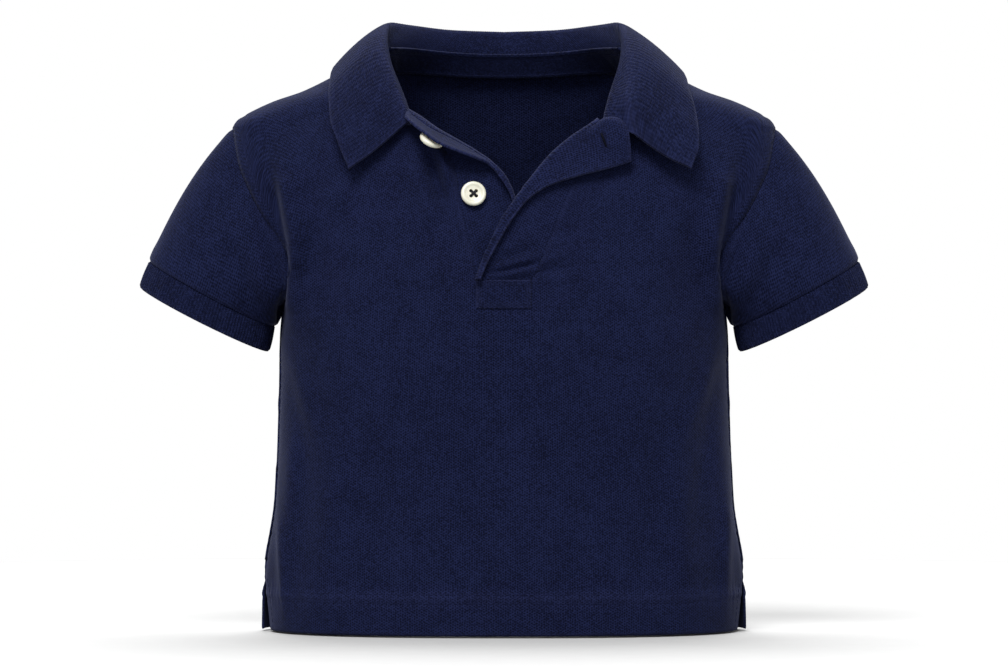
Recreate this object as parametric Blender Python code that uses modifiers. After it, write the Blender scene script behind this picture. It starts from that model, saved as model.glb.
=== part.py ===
"""Baby's short-sleeved pique polo shirt, hollow and filled out as if worn, neck open.

+X is the wearer's left, -Y the front, +Z up. The scene is in metres and the tables in millimetres.
The origin is the middle of the neck base, level with the high points of the shoulders.
"""
import bmesh
import bpy
import numpy as np
from mathutils import Vector

MM = 0.001

# Cloth walls and seams
PANEL_WALL = 1.2
PLACKET_WALL = 1.3
COLLAR_WALL = 1.5
CUFF_WALL = 1.7
TAPE_WALL = 1.0
SEAM_GAP = 0.35

# Panel outline
HEM_Z = -265.3
SLIT_BOTTOM_Z = -105.0
SLIT_TOP_Z = -34.0
UNDERARM_Z = -113.0
SHOULDER_TIP_X = 125.0
SHOULDER_TIP_Z = -34.0
NECK_HALF = 57.0
NECK_BOW = 1.3
NECK_SHARE = 0.3
BACK_NECK_RISE = 4.0
PLACKET_HALF = 12.4

# Sleeve ends and cuffs, for the wearer's left; the right one is mirrored
SLEEVE_END = {"center": (133.3, -110.6), "half": (29.4, 15.4), "depth": 25.5, "nod": 2.0}
CUFF_TOP = {"center": (133.6, -111.2), "half": (28.9, 14.9), "depth": 24.8, "nod": 2.0}
CUFF_END = {"center": (137.0, -122.4), "half": (29.9, 14.9), "depth": 25.4, "nod": 2.0}
SLEEVE_RINGS = 8
SLEEVE_PULL = 0.36

# Buttons
BUTTON_RADIUS = 5.7
BUTTON_THICK = 2.4
BUTTON_EDGE = 0.5
BUTTON_HOLE_RADIUS = 0.85
BUTTON_HOLE_PITCH = 2.9
BUTTON_LOWER = (-13.9, -66.2)
BUTTON_UPPER_X = -33.5
BUTTON_UPPER_INSET = 0.6
BUTTON_SHANK = 1.2
LIP_SLOPE = np.radians(33.0)
FOLD_ROLL = 0.8

BUTTON_SIDE_DROP = 3.2
BUTTONHOLE_SIDE_DROP = 0.9
PLACKET_GAP = 0.7
BOX_BOTTOM_Z = -117.6
TAPE_DEPTH = 10.0
TAPE_REACH = 4
TAPE_INSET = 1.9
UNDERARM_STEP = 1.2


def smooth(keys, values, at):
    """Monotone cubic through the rows, held level past the ends."""
    at = np.clip(at, keys[0], keys[-1])
    step = np.diff(keys)
    slope = np.diff(values) / step
    before, after = slope[:-1], slope[1:]
    same = before * after > 0
    total = np.where(same, before + after, 1.0)
    inner = np.where(same, 2 * before * after / total, 0.0)
    tangent = np.concatenate(([slope[0]], inner, [slope[-1]]))
    k = np.clip(np.searchsorted(keys, at) - 1, 0, len(step) - 1)
    t = (at - keys[k]) / step[k]
    rise = values[k] * (1 + 2 * t) * (1 - t) ** 2 + values[k + 1] * t * t * (3 - 2 * t)
    return rise + step[k] * (tangent[k] * t * (1 - t) ** 2 + tangent[k + 1] * t * t * (t - 1))


class Table:
    """A short table with named columns; the first column is the key."""

    def __init__(self, names, rows):
        self.names = names
        self.rows = np.array(sorted(rows), float)

    def __call__(self, name, key):
        return smooth(self.rows[:, 0], self.rows[:, self.names.index(name)], key)


# Body form: level sections. half_* is where the sections end at the sides, depth_* how far they
# reach forward and back from seam_y, the line of the shoulder and side seams.
SECTIONS = Table(
    ("z", "half_front", "half_back", "depth_front", "depth_back", "seam_y", "square"), (
        (5.0, 50.0, 50.0, 20.0, 33.0, -4.0, 2.4),
        (0.0, 57.0, 57.0, 22.0, 35.0, -4.0, 2.4),
        (-9.5, 77.0, 77.0, 27.0, 39.0, -4.0, 2.5),
        (-17.3, 93.0, 93.0, 30.0, 42.0, -4.0, 2.6),
        (-22.0, 106.5, 106.5, 32.5, 43.5, -4.0, 2.6),
        (-27.5, 118.0, 118.0, 35.0, 45.0, -4.0, 2.6),
        (-31.5, 123.6, 123.6, 37.0, 46.0, -4.0, 2.6),
        (-34.0, 125.0, 125.0, 38.0, 47.0, -4.0, 2.6),
        (-50.0, 126.5, 126.5, 44.0, 50.0, -4.0, 2.6),
        (-64.0, 124.5, 124.5, 49.0, 52.0, -3.5, 2.5),
        (-80.0, 119.5, 119.5, 54.0, 54.0, -2.5, 2.4),
        (-95.0, 112.5, 112.5, 57.5, 55.0, -1.5, 2.4),
        (-106.0, 105.0, 105.0, 59.5, 55.0, -0.7, 2.7),
        (-110.0, 102.2, 102.2, 60.2, 55.0, -0.3, 2.95),
        (-113.0, 101.2, 101.2, 60.5, 55.0, 0.0, 3.1),
        (-130.0, 102.4, 102.4, 61.0, 54.0, 0.0, 2.9),
        (-160.0, 103.2, 103.2, 60.0, 52.5, 0.0, 2.8),
        (-205.0, 105.0, 105.0, 58.0, 54.0, 0.0, 2.6),
        (-242.0, 110.0, 110.0, 58.5, 57.0, 0.0, 2.6),
        (-246.0, 108.3, 111.3, 58.5, 57.5, 0.0, 2.6),
        (-266.0, 104.5, 112.0, 59.0, 59.0, 0.0, 2.6),
    ))

# Armhole seam, the same from the front and from behind
ARMHOLE = Table(("z", "x"), (
    (-34.0, 125.0),
    (-52.0, 121.4),
    (-64.0, 116.2),
    (-80.0, 108.0),
    (-95.0, 101.4),
    (-106.0, 97.8),
    (-110.0, 98.8),
    (-113.0, 101.2),
))

# Side edge of a panel: heights of the grid rows, from the hem up to the shoulder tip
SIDE_ROWS = (HEM_Z, -254.0, -243.0, -241.5, -231.0, -215.0, -195.0, -175.0, -156.0, -140.0, -126.0,
             UNDERARM_Z, -111.8, -109.0, SLIT_BOTTOM_Z, -97.0, -87.0, -76.0, -65.0, -54.0, -45.0,
             -39.0, -35.6, -34.3, SHOULDER_TIP_Z)
VENT_ROWS = 3
FRONT_COLUMNS = (0.0, 0.1, 0.2, 0.3, 0.42, 0.54, 0.66, 0.78, 0.88, 0.96, 1.0)
BACK_COLUMNS = (0.0, 0.05, 0.1, 0.15, 0.2, 0.25, 0.3, 0.44, 0.58, 0.72, 0.85, 0.96, 1.0)
SLIT_COLUMNS = 3

# Button placket on the wearer's right: seam, edge, how far the edge sinks behind the other
# placket, and the lip that is turned outward at its top
BUTTON_SIDE = Table(
    ("z", "seam_x", "edge_x", "edge_z", "sink", "lip", "roll"), (
        (-104.7, -12.4, 9.0, -104.7, 3.6, 0.8, 0.45),
        (-98.0, -13.2, 9.0, -97.0, 3.6, 0.8, 0.45),
        (-84.0, -16.5, 7.4, -82.0, 3.5, 0.8, 0.45),
        (-68.4, -20.0, 3.6, -66.5, 2.9, 1.0, 0.6),
        (-58.0, -21.5, -0.7, -57.9, 0.6, 2.0, 1.0),
        (-49.5, -23.5, -5.9, -52.0, -0.5, 4.0, 1.4),
        (-45.5, -27.0, -13.0, -47.0, -0.5, 6.0, 1.9),
        (-41.5, -31.5, -20.7, -42.4, -0.5, 8.0, 2.3),
        (-37.5, -37.0, -31.0, -36.4, -0.5, 9.0, 2.4),
        (-34.0, -42.0, -38.4, -31.0, 0.0, 8.0, 2.0),
    ))

# Buttonhole placket on the wearer's left: seam, fold line and the free edge turned outward
BUTTONHOLE_SIDE = Table(
    ("z", "seam_x", "fold_x", "fold_z", "free_x", "free_z", "rest", "belly"), (
        (-104.7, 12.4, -11.6, -104.6, -10.4, -104.6, 1.5, 0.0),
        (-97.0, 16.0, -8.8, -96.5, -7.2, -97.0, 1.5, 0.0),
        (-88.0, 19.6, -5.0, -87.5, -2.7, -88.6, 1.5, 0.0),
        (-78.0, 23.5, -0.3, -77.8, 2.8, -79.2, 1.4, 0.0),
        (-67.5, 28.0, 6.5, -67.6, 11.0, -68.7, 1.3, 0.0),
        (-57.0, 33.0, 13.7, -57.9, 20.0, -62.6, 1.2, 0.0),
        (-49.0, 37.0, 22.0, -48.0, 32.0, -58.5, 1.1, 0.0),
        (-42.0, 40.5, 31.0, -40.3, 44.5, -55.2, 1.0, 0.6),
        (-37.0, 43.2, 38.8, -33.7, 53.4, -52.6, 1.0, 3.0),
        (-34.0, 45.2, 43.6, -29.0, 58.2, -50.8, 1.2, 6.0),
    ))

# Collar: "along" runs 0 at the centre back, 1 at the high point of the shoulder, 2 at the slit
COLLAR_COLUMNS = ("along", "roll_x", "roll_y", "roll_z", "edge_x", "edge_y", "edge_z")
COLLAR_BACK = (
    (0.0, 0.0, 33.5, 10.6, 0.0, 44.5, -24.5),
    (0.4, 23.5, 31.5, 11.2, 29.0, 43.8, -24.5),
    (0.75, 43.0, 22.0, 12.6, 57.0, 38.2, -21.5),
    (0.93, 51.5, 11.0, 13.2, 72.0, 24.0, -14.0),
)
COLLAR_RIGHT = Table(COLLAR_COLUMNS, COLLAR_BACK + (
    (1.08, 54.6, -6.0, 9.5, 78.5, -2.0, -7.6),
    (1.28, 54.8, -20.0, 1.0, 80.0, -24.0, -16.0),
    (1.52, 51.0, -32.5, -12.0, 79.0, -37.0, -31.0),
    (1.78, 46.4, -40.5, -24.0, 75.5, -43.5, -41.5),
    (2.0, 42.6, -45.0, -32.5, 70.2, -48.5, -54.3),
))
COLLAR_LEFT = Table(COLLAR_COLUMNS, COLLAR_BACK + (
    (1.08, 54.6, -6.0, 9.5, 82.5, -2.0, -9.6),
    (1.28, 56.2, -20.0, 0.5, 85.0, -25.5, -19.2),
    (1.52, 56.6, -33.0, -12.0, 88.0, -36.0, -32.5),
    (1.78, 55.8, -42.5, -24.5, 88.4, -42.5, -43.0),
    (2.0, 58.6, -48.5, -38.5, 84.8, -48.2, -53.8),
))
COLLAR_ACROSS = (0.0, 0.5, 1.0, 1.12, 1.28, 1.46, 1.64, 1.82, 2.0)
COLLAR_STATIONS = (0.0, 0.2, 0.4, 0.58, 0.72, 0.84, 0.93, 1.0, 1.08, 1.18, 1.3, 1.44, 1.58, 1.72,
                   1.86, 2.0)
COLLAR_SEAM_STEP = 1.2
COLLAR_ROUND = 6.0
COLLAR_ARCH = 1.6

# Largest folds: a line from (x0, z0) to (x1, z1), its half width and its rise outward
FOLD_COLUMNS = ("x0", "z0", "x1", "z1", "width", "rise")
FRONT_FOLDS = (
    (-97.0, -62.0, -95.0, -112.0, 6.0, 3.2),
    (98.0, -60.0, 96.0, -112.0, 6.0, 3.2),
    (-87.0, -165.0, -92.0, -235.0, 8.0, -1.8),
    (88.0, -150.0, 95.0, -238.0, 8.0, -1.8),
    (-30.0, -75.0, -52.0, -98.0, 7.0, -1.2),
    (28.0, -112.0, 52.0, -96.0, 6.0, -1.4),
    (-2.0, -124.0, 8.0, -176.0, 10.0, -1.0),
)
BACK_FOLDS = (
    (-70.0, -60.0, -82.0, -120.0, 9.0, -1.6),
    (70.0, -62.0, 84.0, -116.0, 9.0, -1.6),
    (-45.0, -170.0, -58.0, -245.0, 10.0, -1.6),
    (20.0, -160.0, 26.0, -240.0, 11.0, -1.4),
    (76.0, -165.0, 82.0, -240.0, 9.0, -1.6),
)


def fold_height(x, z, folds):
    """Sum of the soft ridges and troughs at a place on a panel."""
    height = 0.0
    for row in folds:
        fold = dict(zip(FOLD_COLUMNS, row))
        along_x = fold["x1"] - fold["x0"]
        along_z = fold["z1"] - fold["z0"]
        length = np.hypot(along_x, along_z)
        t = ((x - fold["x0"]) * along_x + (z - fold["z0"]) * along_z) / length ** 2
        off = ((x - fold["x0"]) * along_z - (z - fold["z0"]) * along_x) / length
        fade = np.exp(-(2 * np.clip(t, 0, 1) - 1) ** 6) * np.exp(-((t - np.clip(t, 0, 1)) * 4) ** 2)
        height += fold["rise"] * fade * np.exp(-(off / fold["width"]) ** 2)
    return height


def torso_y(x, z, side):
    """Depth of the body form's front (side -1) or back (side +1)."""
    face = "front" if side < 0 else "back"
    ratio = np.clip(abs(x) / SECTIONS("half_" + face, z), 0, 1)
    bulge = np.sqrt(1 - ratio ** SECTIONS("square", z))
    folds = FRONT_FOLDS if side < 0 else BACK_FOLDS
    reach = SECTIONS("depth_" + face, z) * bulge + fold_height(x, z, folds) * bulge
    return SECTIONS("seam_y", z) + side * (SEAM_GAP / 2 + reach)


def shoulder_z(x):
    """Height of the shoulder seam at a distance from the centre."""
    heights = np.linspace(SHOULDER_TIP_Z, 0.0, 800)
    return np.interp(-x, -SECTIONS("half_front", heights), heights)


def slit_x(z, sign):
    """Edge of the centre-front slit, and the line it follows below the slit."""
    table = BUTTON_SIDE if sign < 0 else BUTTONHOLE_SIDE
    return sign * table("seam_x", z)


def front_top(q, start):
    """Top edge of half the front: neckline from the slit, then the shoulder seam."""
    if q <= NECK_SHARE:
        k = q / NECK_SHARE
        return start + (NECK_HALF - start) * k ** NECK_BOW, SLIT_TOP_Z * (1 - k)
    k = (q - NECK_SHARE) / (1 - NECK_SHARE)
    x = NECK_HALF + (SHOULDER_TIP_X - NECK_HALF) * k
    return x, shoulder_z(x)


def back_top(q):
    """Top edge of half the back: neckline from the centre, then the shoulder seam."""
    if q <= NECK_SHARE:
        k = np.sin(q / NECK_SHARE * np.pi / 2)
        return NECK_HALF * k, BACK_NECK_RISE * k * k * (1 - k ** 8)
    return front_top(q, 0.0)


def panel_point(side, sign, row, q):
    """Point of a panel at a grid row and a share q of the way from its centre to its side."""
    row_z = SIDE_ROWS[row]
    share = (row_z - HEM_Z) / (SHOULDER_TIP_Z - HEM_Z)
    start_top = slit_x(SLIT_TOP_Z, sign) if side < 0 else 0.0
    top_x, top_z = front_top(q, start_top) if side < 0 else back_top(q)
    z = HEM_Z + (top_z - HEM_Z) * share
    start = slit_x(z, sign) if side < 0 else 0.0
    half = SECTIONS("half_front" if side < 0 else "half_back", row_z)
    end = ARMHOLE("x", row_z) if row_z >= UNDERARM_Z else half
    spread_top = (top_x - start_top) / (SHOULDER_TIP_X - start_top)
    rising = np.clip((share - 0.55) / 0.45, 0, 1)
    blend = rising * rising * (3 - 2 * rising)
    spread = (1 - blend) * np.sin(q * np.pi / 2) + blend * spread_top
    x = start + (end - start) * spread
    on_seam = q == 1.0 and row_z <= UNDERARM_Z or row == len(SIDE_ROWS) - 1 and q >= NECK_SHARE
    if on_seam:
        y = SECTIONS("seam_y", z) + side * SEAM_GAP / 2
    else:
        y = torso_y(x, z, side)
    if q == 1.0 and row < VENT_ROWS:
        y = side * (2.5 if side < 0 else 1.0)
    return np.array((sign * x, y, z))


def front_points():
    """Grid of the front, with the slit's columns in the middle."""
    grid = []
    for row in range(len(SIDE_ROWS)):
        left = [panel_point(-1, -1, row, q) for q in reversed(FRONT_COLUMNS)]
        right = [panel_point(-1, 1, row, q) for q in FRONT_COLUMNS]
        middle = []
        for k in range(1, SLIT_COLUMNS):
            x = left[-1][0] + (right[0][0] - left[-1][0]) * k / SLIT_COLUMNS
            middle.append(np.array((x, torso_y(x, left[-1][2], -1), left[-1][2])))
        grid.append(left + middle + right)
    return np.array(grid)


def back_points():
    """Grid of the back, seen from the front left to right."""
    grid = []
    for row in range(len(SIDE_ROWS)):
        left = [panel_point(1, -1, row, q) for q in reversed(BACK_COLUMNS[1:])]
        right = [panel_point(1, 1, row, q) for q in BACK_COLUMNS]
        grid.append(left + right)
    return np.array(grid)


def ring(shape, sign, angle, side):
    """Point on a tilted oval: angle 0 is its outer end, pi its end under the arm."""
    reach = np.cos(angle)
    x = shape["center"][0] + shape["half"][0] * reach
    z = shape["center"][1] + shape["half"][1] * reach - shape["nod"] * np.sin(angle) * (side < 0)
    return np.array((sign * x, side * shape["depth"] * np.sin(angle), z))


def armhole_loop(sign):
    """Armhole points and their angles: shoulder tip, down the front, up the back."""
    first = SIDE_ROWS.index(UNDERARM_Z)
    rows = range(len(SIDE_ROWS) - 1, first - 1, -1)
    loops = []
    for side in (-1, 1):
        edge = np.array([panel_point(side, sign, row, 1.0) for row in rows])
        edge[0, 1] = SECTIONS("seam_y", SHOULDER_TIP_Z)
        edge[-1, 1] = SECTIONS("seam_y", UNDERARM_Z)
        run = np.concatenate(([0.0], np.cumsum(np.linalg.norm(np.diff(edge, axis=0), axis=1))))
        angles = np.pi * run / run[-1]
        loops.append([(point, angle, side) for point, angle in zip(edge, angles)])
    return loops[0] + loops[1][-2:0:-1]


def sleeve_points(sign):
    """Rings from the armhole to the cuff seam; each line leaves the armhole along the shoulder."""
    lines = []
    for start, angle, side in armhole_loop(sign):
        end = ring(SLEEVE_END, sign, angle, side)
        top = np.cos(angle / 2) ** 2
        leave = top * np.array((sign * 0.86, 0, -0.5)) + (1 - top) * np.array((sign * 0.4, 0, -0.9))
        leave = leave + np.sin(angle) * np.array((0, side * 0.35, 0))
        arrive = np.array((sign * 0.42, 0, -0.9))
        reach = SLEEVE_PULL * np.linalg.norm(end - start)
        start = start + leave / np.linalg.norm(leave) * SEAM_GAP * 1.4
        start = start + np.array((sign * UNDERARM_STEP * (1 - top), 0, 0))
        line = []
        for k in range(SLEEVE_RINGS + 1):
            t = k / SLEEVE_RINGS
            hold = (start, start + leave * reach, end - arrive * reach, end)
            weights = ((1 - t) ** 3, 3 * t * (1 - t) ** 2, 3 * t * t * (1 - t), t ** 3)
            line.append(sum(w * p for w, p in zip(weights, hold)))
        lines.append(line)
    lines.append(lines[0])
    return np.array(lines).transpose(1, 0, 2)


def cuff_points(sign):
    """Two rings of the rib band, on the same angles as the sleeve."""
    loop = armhole_loop(sign)
    loop.append(loop[0])
    rows = []
    for share in (0.0, 0.5, 1.0):
        row = []
        for _, angle, side in loop:
            upper = ring(CUFF_TOP, sign, angle, side)
            lower = ring(CUFF_END, sign, angle, side)
            row.append(upper + (lower - upper) * share)
        rows.append(row)
    return np.array(rows)


def neck_seam(along, sign):
    """Top edge of the panels round the neck, 0 at the centre back, 2 at the slit."""
    if along <= 1.0:
        x, z = back_top(along * NECK_SHARE)
        side = 1
    else:
        x, z = front_top((2.0 - along) * NECK_SHARE, slit_x(SLIT_TOP_Z, sign))
        side = -1
    y = torso_y(x, z, side) if 0 < abs(along - 1.0) else SECTIONS("seam_y", z)
    return np.array((sign * x, y, z))


def collar_line(along, sign):
    """One line across the collar, from the neck seam over the roll to the outer edge."""
    table = COLLAR_LEFT if sign > 0 else COLLAR_RIGHT
    seam = neck_seam(along, sign)
    inward = -np.array((seam[0], seam[1] + 4.0, 0.0))
    inward = inward / np.linalg.norm(inward)
    step = 0.04 if along < 1.0 else -0.04
    run = neck_seam(along + step, sign) - seam
    rise = np.cross(run, inward)
    rise = rise / np.linalg.norm(rise) * np.sign(rise[2])
    forward = np.clip(along - 1.0, 0.0, 1.0)
    seam = seam + rise * COLLAR_SEAM_STEP + inward * PANEL_WALL / 2 * (1 - 3 * forward)
    roll = np.array([table("roll_" + axis, along) for axis in "xyz"]) * (sign, 1, 1)
    edge = np.array([table("edge_" + axis, along) for axis in "xyz"]) * (sign, 1, 1)
    away = edge - roll
    away[2] = 0.0
    away = away / np.linalg.norm(away)
    line = []
    for place in COLLAR_ACROSS:
        if place <= 1.0:
            hold = (seam, seam + (roll - seam) * 0.5 + inward * 0.8, roll)
            t = place
            weights = ((1 - t) ** 2, 2 * t * (1 - t), t * t)
        else:
            t = place - 1.0
            lift = away * COLLAR_ARCH + np.array((0, 0, COLLAR_ARCH))
            hold = (roll, roll + away * COLLAR_ROUND, edge + (roll - edge) * 0.4 + lift, edge)
            weights = ((1 - t) ** 3, 3 * t * (1 - t) ** 2, 3 * t * t * (1 - t), t ** 3)
        line.append(sum(w * p for w, p in zip(weights, hold)))
    return line


def collar_points():
    """Collar from its front end on the wearer's right, round the back, to the other end."""
    right = [collar_line(along, -1) for along in reversed(COLLAR_STATIONS[1:])]
    left = [collar_line(along, 1) for along in COLLAR_STATIONS]
    return np.array(right + left).transpose(1, 0, 2)


def tape_points():
    """Strip under the neck seam, on the inside of the back."""
    rows = []
    for drop in (0.0, 0.5, 1.0):
        row = []
        for step in range(-TAPE_REACH, TAPE_REACH + 1):
            x, z = back_top(BACK_COLUMNS[abs(step)])
            z = z - SEAM_GAP - TAPE_DEPTH * drop
            slope = torso_y(x + 0.5, z, 1) - torso_y(x - 0.5, z, 1)
            inward = np.array((slope, -1.0)) / np.hypot(slope, 1.0)
            x, y = np.array((x, torso_y(x, z, 1))) + inward * (PANEL_WALL + TAPE_INSET)
            row.append((x if step >= 0 else -x, y, z))
        rows.append(row)
    return np.array(rows)


def placket_rows(drop):
    """Seam heights shared with the front's slit, ending a drop below its top."""
    rows = [z for z in SIDE_ROWS if SLIT_BOTTOM_Z < z < SLIT_TOP_Z - drop]
    return [SLIT_BOTTOM_Z + SEAM_GAP] + rows + [SLIT_TOP_Z - drop]


def slit_gap(table, z):
    """Sideways step that leaves the same gap beside a slanting stretch of the slit."""
    slant = table("seam_x", z + 0.5) - table("seam_x", z - 0.5)
    return PLACKET_GAP * np.hypot(1.0, slant)


def hook(seam, bend, tip, roll):
    """Section of a folded strip: seam, bend, half turn of a small radius, and back to the tip."""
    ahead = bend - seam
    ahead = ahead / np.linalg.norm(ahead)
    front = np.array((0.0, -1.0, 0.0))
    middle = bend + front * roll - ahead * roll
    flat = [seam + (bend - ahead * roll - seam) * k for k in (0.0, 0.4, 0.8)]
    turn = [middle - front * roll * np.cos(a) + ahead * roll * np.sin(a)
            for a in np.radians((0, 45, 90, 135, 180))]
    return flat + turn + [(turn[-1] + tip) / 2, tip]


def button_placket_points():
    """Strip on the wearer's right; its top is rolled outward as a lip."""
    grid = []
    for z in placket_rows(BUTTON_SIDE_DROP):
        get = {name: float(BUTTON_SIDE(name, z)) for name in BUTTON_SIDE.names}
        seam_x = get["seam_x"] + slit_gap(BUTTON_SIDE, z)
        seam = np.array((seam_x, torso_y(seam_x, z, -1), z))
        edge_y = torso_y(get["edge_x"], get["edge_z"], -1) + get["sink"]
        edge = np.array((get["edge_x"], edge_y, get["edge_z"]))
        back = (seam - edge) / np.linalg.norm(seam - edge)
        lip = get["lip"]
        down = np.array((0.0, -np.cos(LIP_SLOPE), -np.sin(LIP_SLOPE)))
        turned = np.clip((lip - 2.0) / 4.0, 0, 1)
        tip = edge + np.array((0.0, -2 * get["roll"], 0.0)) + back * lip * (1 - turned) * 0.8
        tip = tip + down * lip * turned
        grid.append(hook(seam, edge, tip, get["roll"]))
    return np.array(grid)


def buttonhole_placket_points():
    """Strip on the wearer's left; its free edge is turned outward more and more to the top."""
    grid = []
    for z in placket_rows(BUTTONHOLE_SIDE_DROP):
        get = {name: float(BUTTONHOLE_SIDE(name, z)) for name in BUTTONHOLE_SIDE.names}
        seam_x = get["seam_x"] - slit_gap(BUTTONHOLE_SIDE, z)
        seam = np.array((seam_x, torso_y(seam_x, z, -1), z))
        fold_y = torso_y(get["fold_x"], get["fold_z"], -1) - 2.1
        fold = np.array((get["fold_x"], fold_y, get["fold_z"]))
        free_y = torso_y(get["free_x"], get["free_z"], -1) - get["rest"] - 2.2
        free = np.array((get["free_x"], free_y, get["free_z"]))
        line = hook(seam, fold, free, FOLD_ROLL)
        line[-2] = line[-2] + np.array((0.55, 0.0, 0.83)) * get["belly"]
        grid.append(line)
    return np.array(grid)


def box_points():
    """Patch at the foot of the plackets, lying on the front."""
    grid = []
    for z in np.linspace(BOX_BOTTOM_Z, SLIT_BOTTOM_Z - 0.3, 4):
        row = []
        for k in range(SLIT_COLUMNS + 1):
            x = PLACKET_HALF * (2 * k / SLIT_COLUMNS - 1)
            row.append((x, torso_y(x, z, -1) - SEAM_GAP - PANEL_WALL, z))
        grid.append(row)
    return np.array(grid)


def material(name, color, roughness):
    """Plain Principled material."""
    made = bpy.data.materials.new(name)
    made.use_nodes = True
    shader = made.node_tree.nodes["Principled BSDF"]
    shader.inputs["Base Color"].default_value = (*color, 1.0)
    shader.inputs["Roughness"].default_value = roughness
    shader.inputs["Metallic"].default_value = 0.0
    return made


def add_object(name, mesh, look, collection):
    """Link a mesh as a named object with its own material."""
    item = bpy.data.objects.new(name, mesh)
    item.data.materials.append(material(name + "_look", *look))
    collection.objects.link(item)
    return item


def sheet(name, points, wall, look, collection, offset=-1.0, closed=False, without=None):
    """Open grid through the points, thickened by Solidify away from the garment's outside."""
    rows, columns = points.shape[:2]
    bm = bmesh.new()
    bmesh.ops.create_grid(bm, x_segments=columns - 1, y_segments=rows - 1, size=1.0)
    bm.verts.ensure_lookup_table()
    for index, vertex in enumerate(bm.verts):
        vertex.co = Vector(points[index // columns, index % columns]) * MM
    if without:
        gone = [face for face in bm.faces if without(face.calc_center_median() / MM)]
        bmesh.ops.delete(bm, geom=gone, context="FACES")
    if closed:
        bmesh.ops.remove_doubles(bm, verts=bm.verts, dist=0.01 * MM)
    bm.normal_update()
    middle = sum((vertex.co for vertex in bm.verts), Vector()) / len(bm.verts)
    if not closed:
        middle = Vector((0.0, 0.0, middle.z))
    facing = sum(face.normal.dot(face.calc_center_median() - middle) * face.calc_area()
                 for face in bm.faces)
    if facing < 0:
        bmesh.ops.reverse_faces(bm, faces=bm.faces)
    mesh = bpy.data.meshes.new(name)
    bm.to_mesh(mesh)
    bm.free()
    item = add_object(name, mesh, look, collection)
    wall_maker = item.modifiers.new("wall", "SOLIDIFY")
    wall_maker.thickness = wall * MM
    wall_maker.offset = offset
    mesh.shade_smooth()
    mesh.set_sharp_from_angle(angle=np.radians(50))
    return item


def button(name, place, axis, look, collection, cutters):
    """Four-hole button with a rounded edge, its face along the axis."""
    bm = bmesh.new()
    bmesh.ops.create_cone(bm, cap_ends=True, segments=24, radius1=BUTTON_RADIUS * MM,
                          radius2=BUTTON_RADIUS * MM, depth=BUTTON_THICK * MM)
    mesh = bpy.data.meshes.new(name)
    bm.to_mesh(mesh)
    bm.free()
    item = add_object(name, mesh, look, collection)
    item.location = Vector(place) * MM
    item.rotation_mode = "QUATERNION"
    item.rotation_quaternion = Vector(axis).to_track_quat("Z", "Y")
    edge = item.modifiers.new("edge", "BEVEL")
    edge.width = BUTTON_EDGE * MM
    edge.segments = 2
    edge.limit_method = "ANGLE"
    bm = bmesh.new()
    for x in (-0.5, 0.5):
        for y in (-0.5, 0.5):
            hole = bmesh.ops.create_cone(
                bm, cap_ends=True, segments=8, radius1=BUTTON_HOLE_RADIUS * MM,
                radius2=BUTTON_HOLE_RADIUS * MM, depth=BUTTON_THICK * 2 * MM)
            shift = Vector((x, y, 0)) * BUTTON_HOLE_PITCH * MM
            bmesh.ops.translate(bm, verts=hole["verts"], vec=shift)
    mesh = bpy.data.meshes.new(name + "_holes")
    bm.to_mesh(mesh)
    bm.free()
    cutter = bpy.data.objects.new(name + "_holes", mesh)
    cutters.objects.link(cutter)
    cutter.parent = item
    cutter.hide_render = True
    cutter.display_type = "WIRE"
    holes = item.modifiers.new("holes", "BOOLEAN")
    holes.operation = "DIFFERENCE"
    holes.solver = "EXACT"
    holes.object = cutter
    item.data.shade_smooth()
    item.data.set_sharp_from_angle(angle=np.radians(40))
    return item


def lower_button_place():
    """Centre and axis of the lower button, flat on the button placket."""
    x, z = BUTTON_LOWER
    seam_x = float(BUTTON_SIDE("seam_x", z))
    edge_x = float(BUTTON_SIDE("edge_x", z))
    sink = float(BUTTON_SIDE("sink", z)) * (x - seam_x) / (edge_x - seam_x)
    y = torso_y(x, z, -1) + sink
    slope_x = (torso_y(x + 3, z, -1) - torso_y(x - 3, z, -1)) / 6 + sink / (x - seam_x)
    slope_z = (torso_y(x, z + 3, -1) - torso_y(x, z - 3, -1)) / 6
    axis = np.array((slope_x, -1.0, slope_z))
    axis = axis / np.linalg.norm(axis)
    place = np.array((x, y, z)) + axis * (BUTTON_THICK / 2 + SEAM_GAP + 0.1)
    return place, axis


def upper_button_place(placket):
    """Centre and axis of the upper button, on the under side of the turned-out lip."""
    tips = placket[np.argsort(placket[:, -1, 0]), -1]
    near = [np.array([np.interp(BUTTON_UPPER_X + shift, tips[:, 0], tips[:, k]) for k in range(3)])
            for shift in (-BUTTON_RADIUS, 0.0, BUTTON_RADIUS)]
    up_lip = np.array((0.0, np.cos(LIP_SLOPE), np.sin(LIP_SLOPE)))
    axis = np.cross(near[2] - near[0], up_lip)
    axis = axis / np.linalg.norm(axis) * -np.sign(axis[2])
    place = near[1] + up_lip * BUTTON_UPPER_INSET + axis * (BUTTON_THICK / 2 + BUTTON_SHANK)
    return place, axis


NAVY = (0.024, 0.028, 0.085)
NAVY_RIB = (0.020, 0.023, 0.070)
NAVY_TAPE = (0.018, 0.021, 0.060)
CREAM = (0.78, 0.74, 0.64)
CLOTH_ROUGH = 0.9
BUTTON_ROUGH = 0.35


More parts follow.
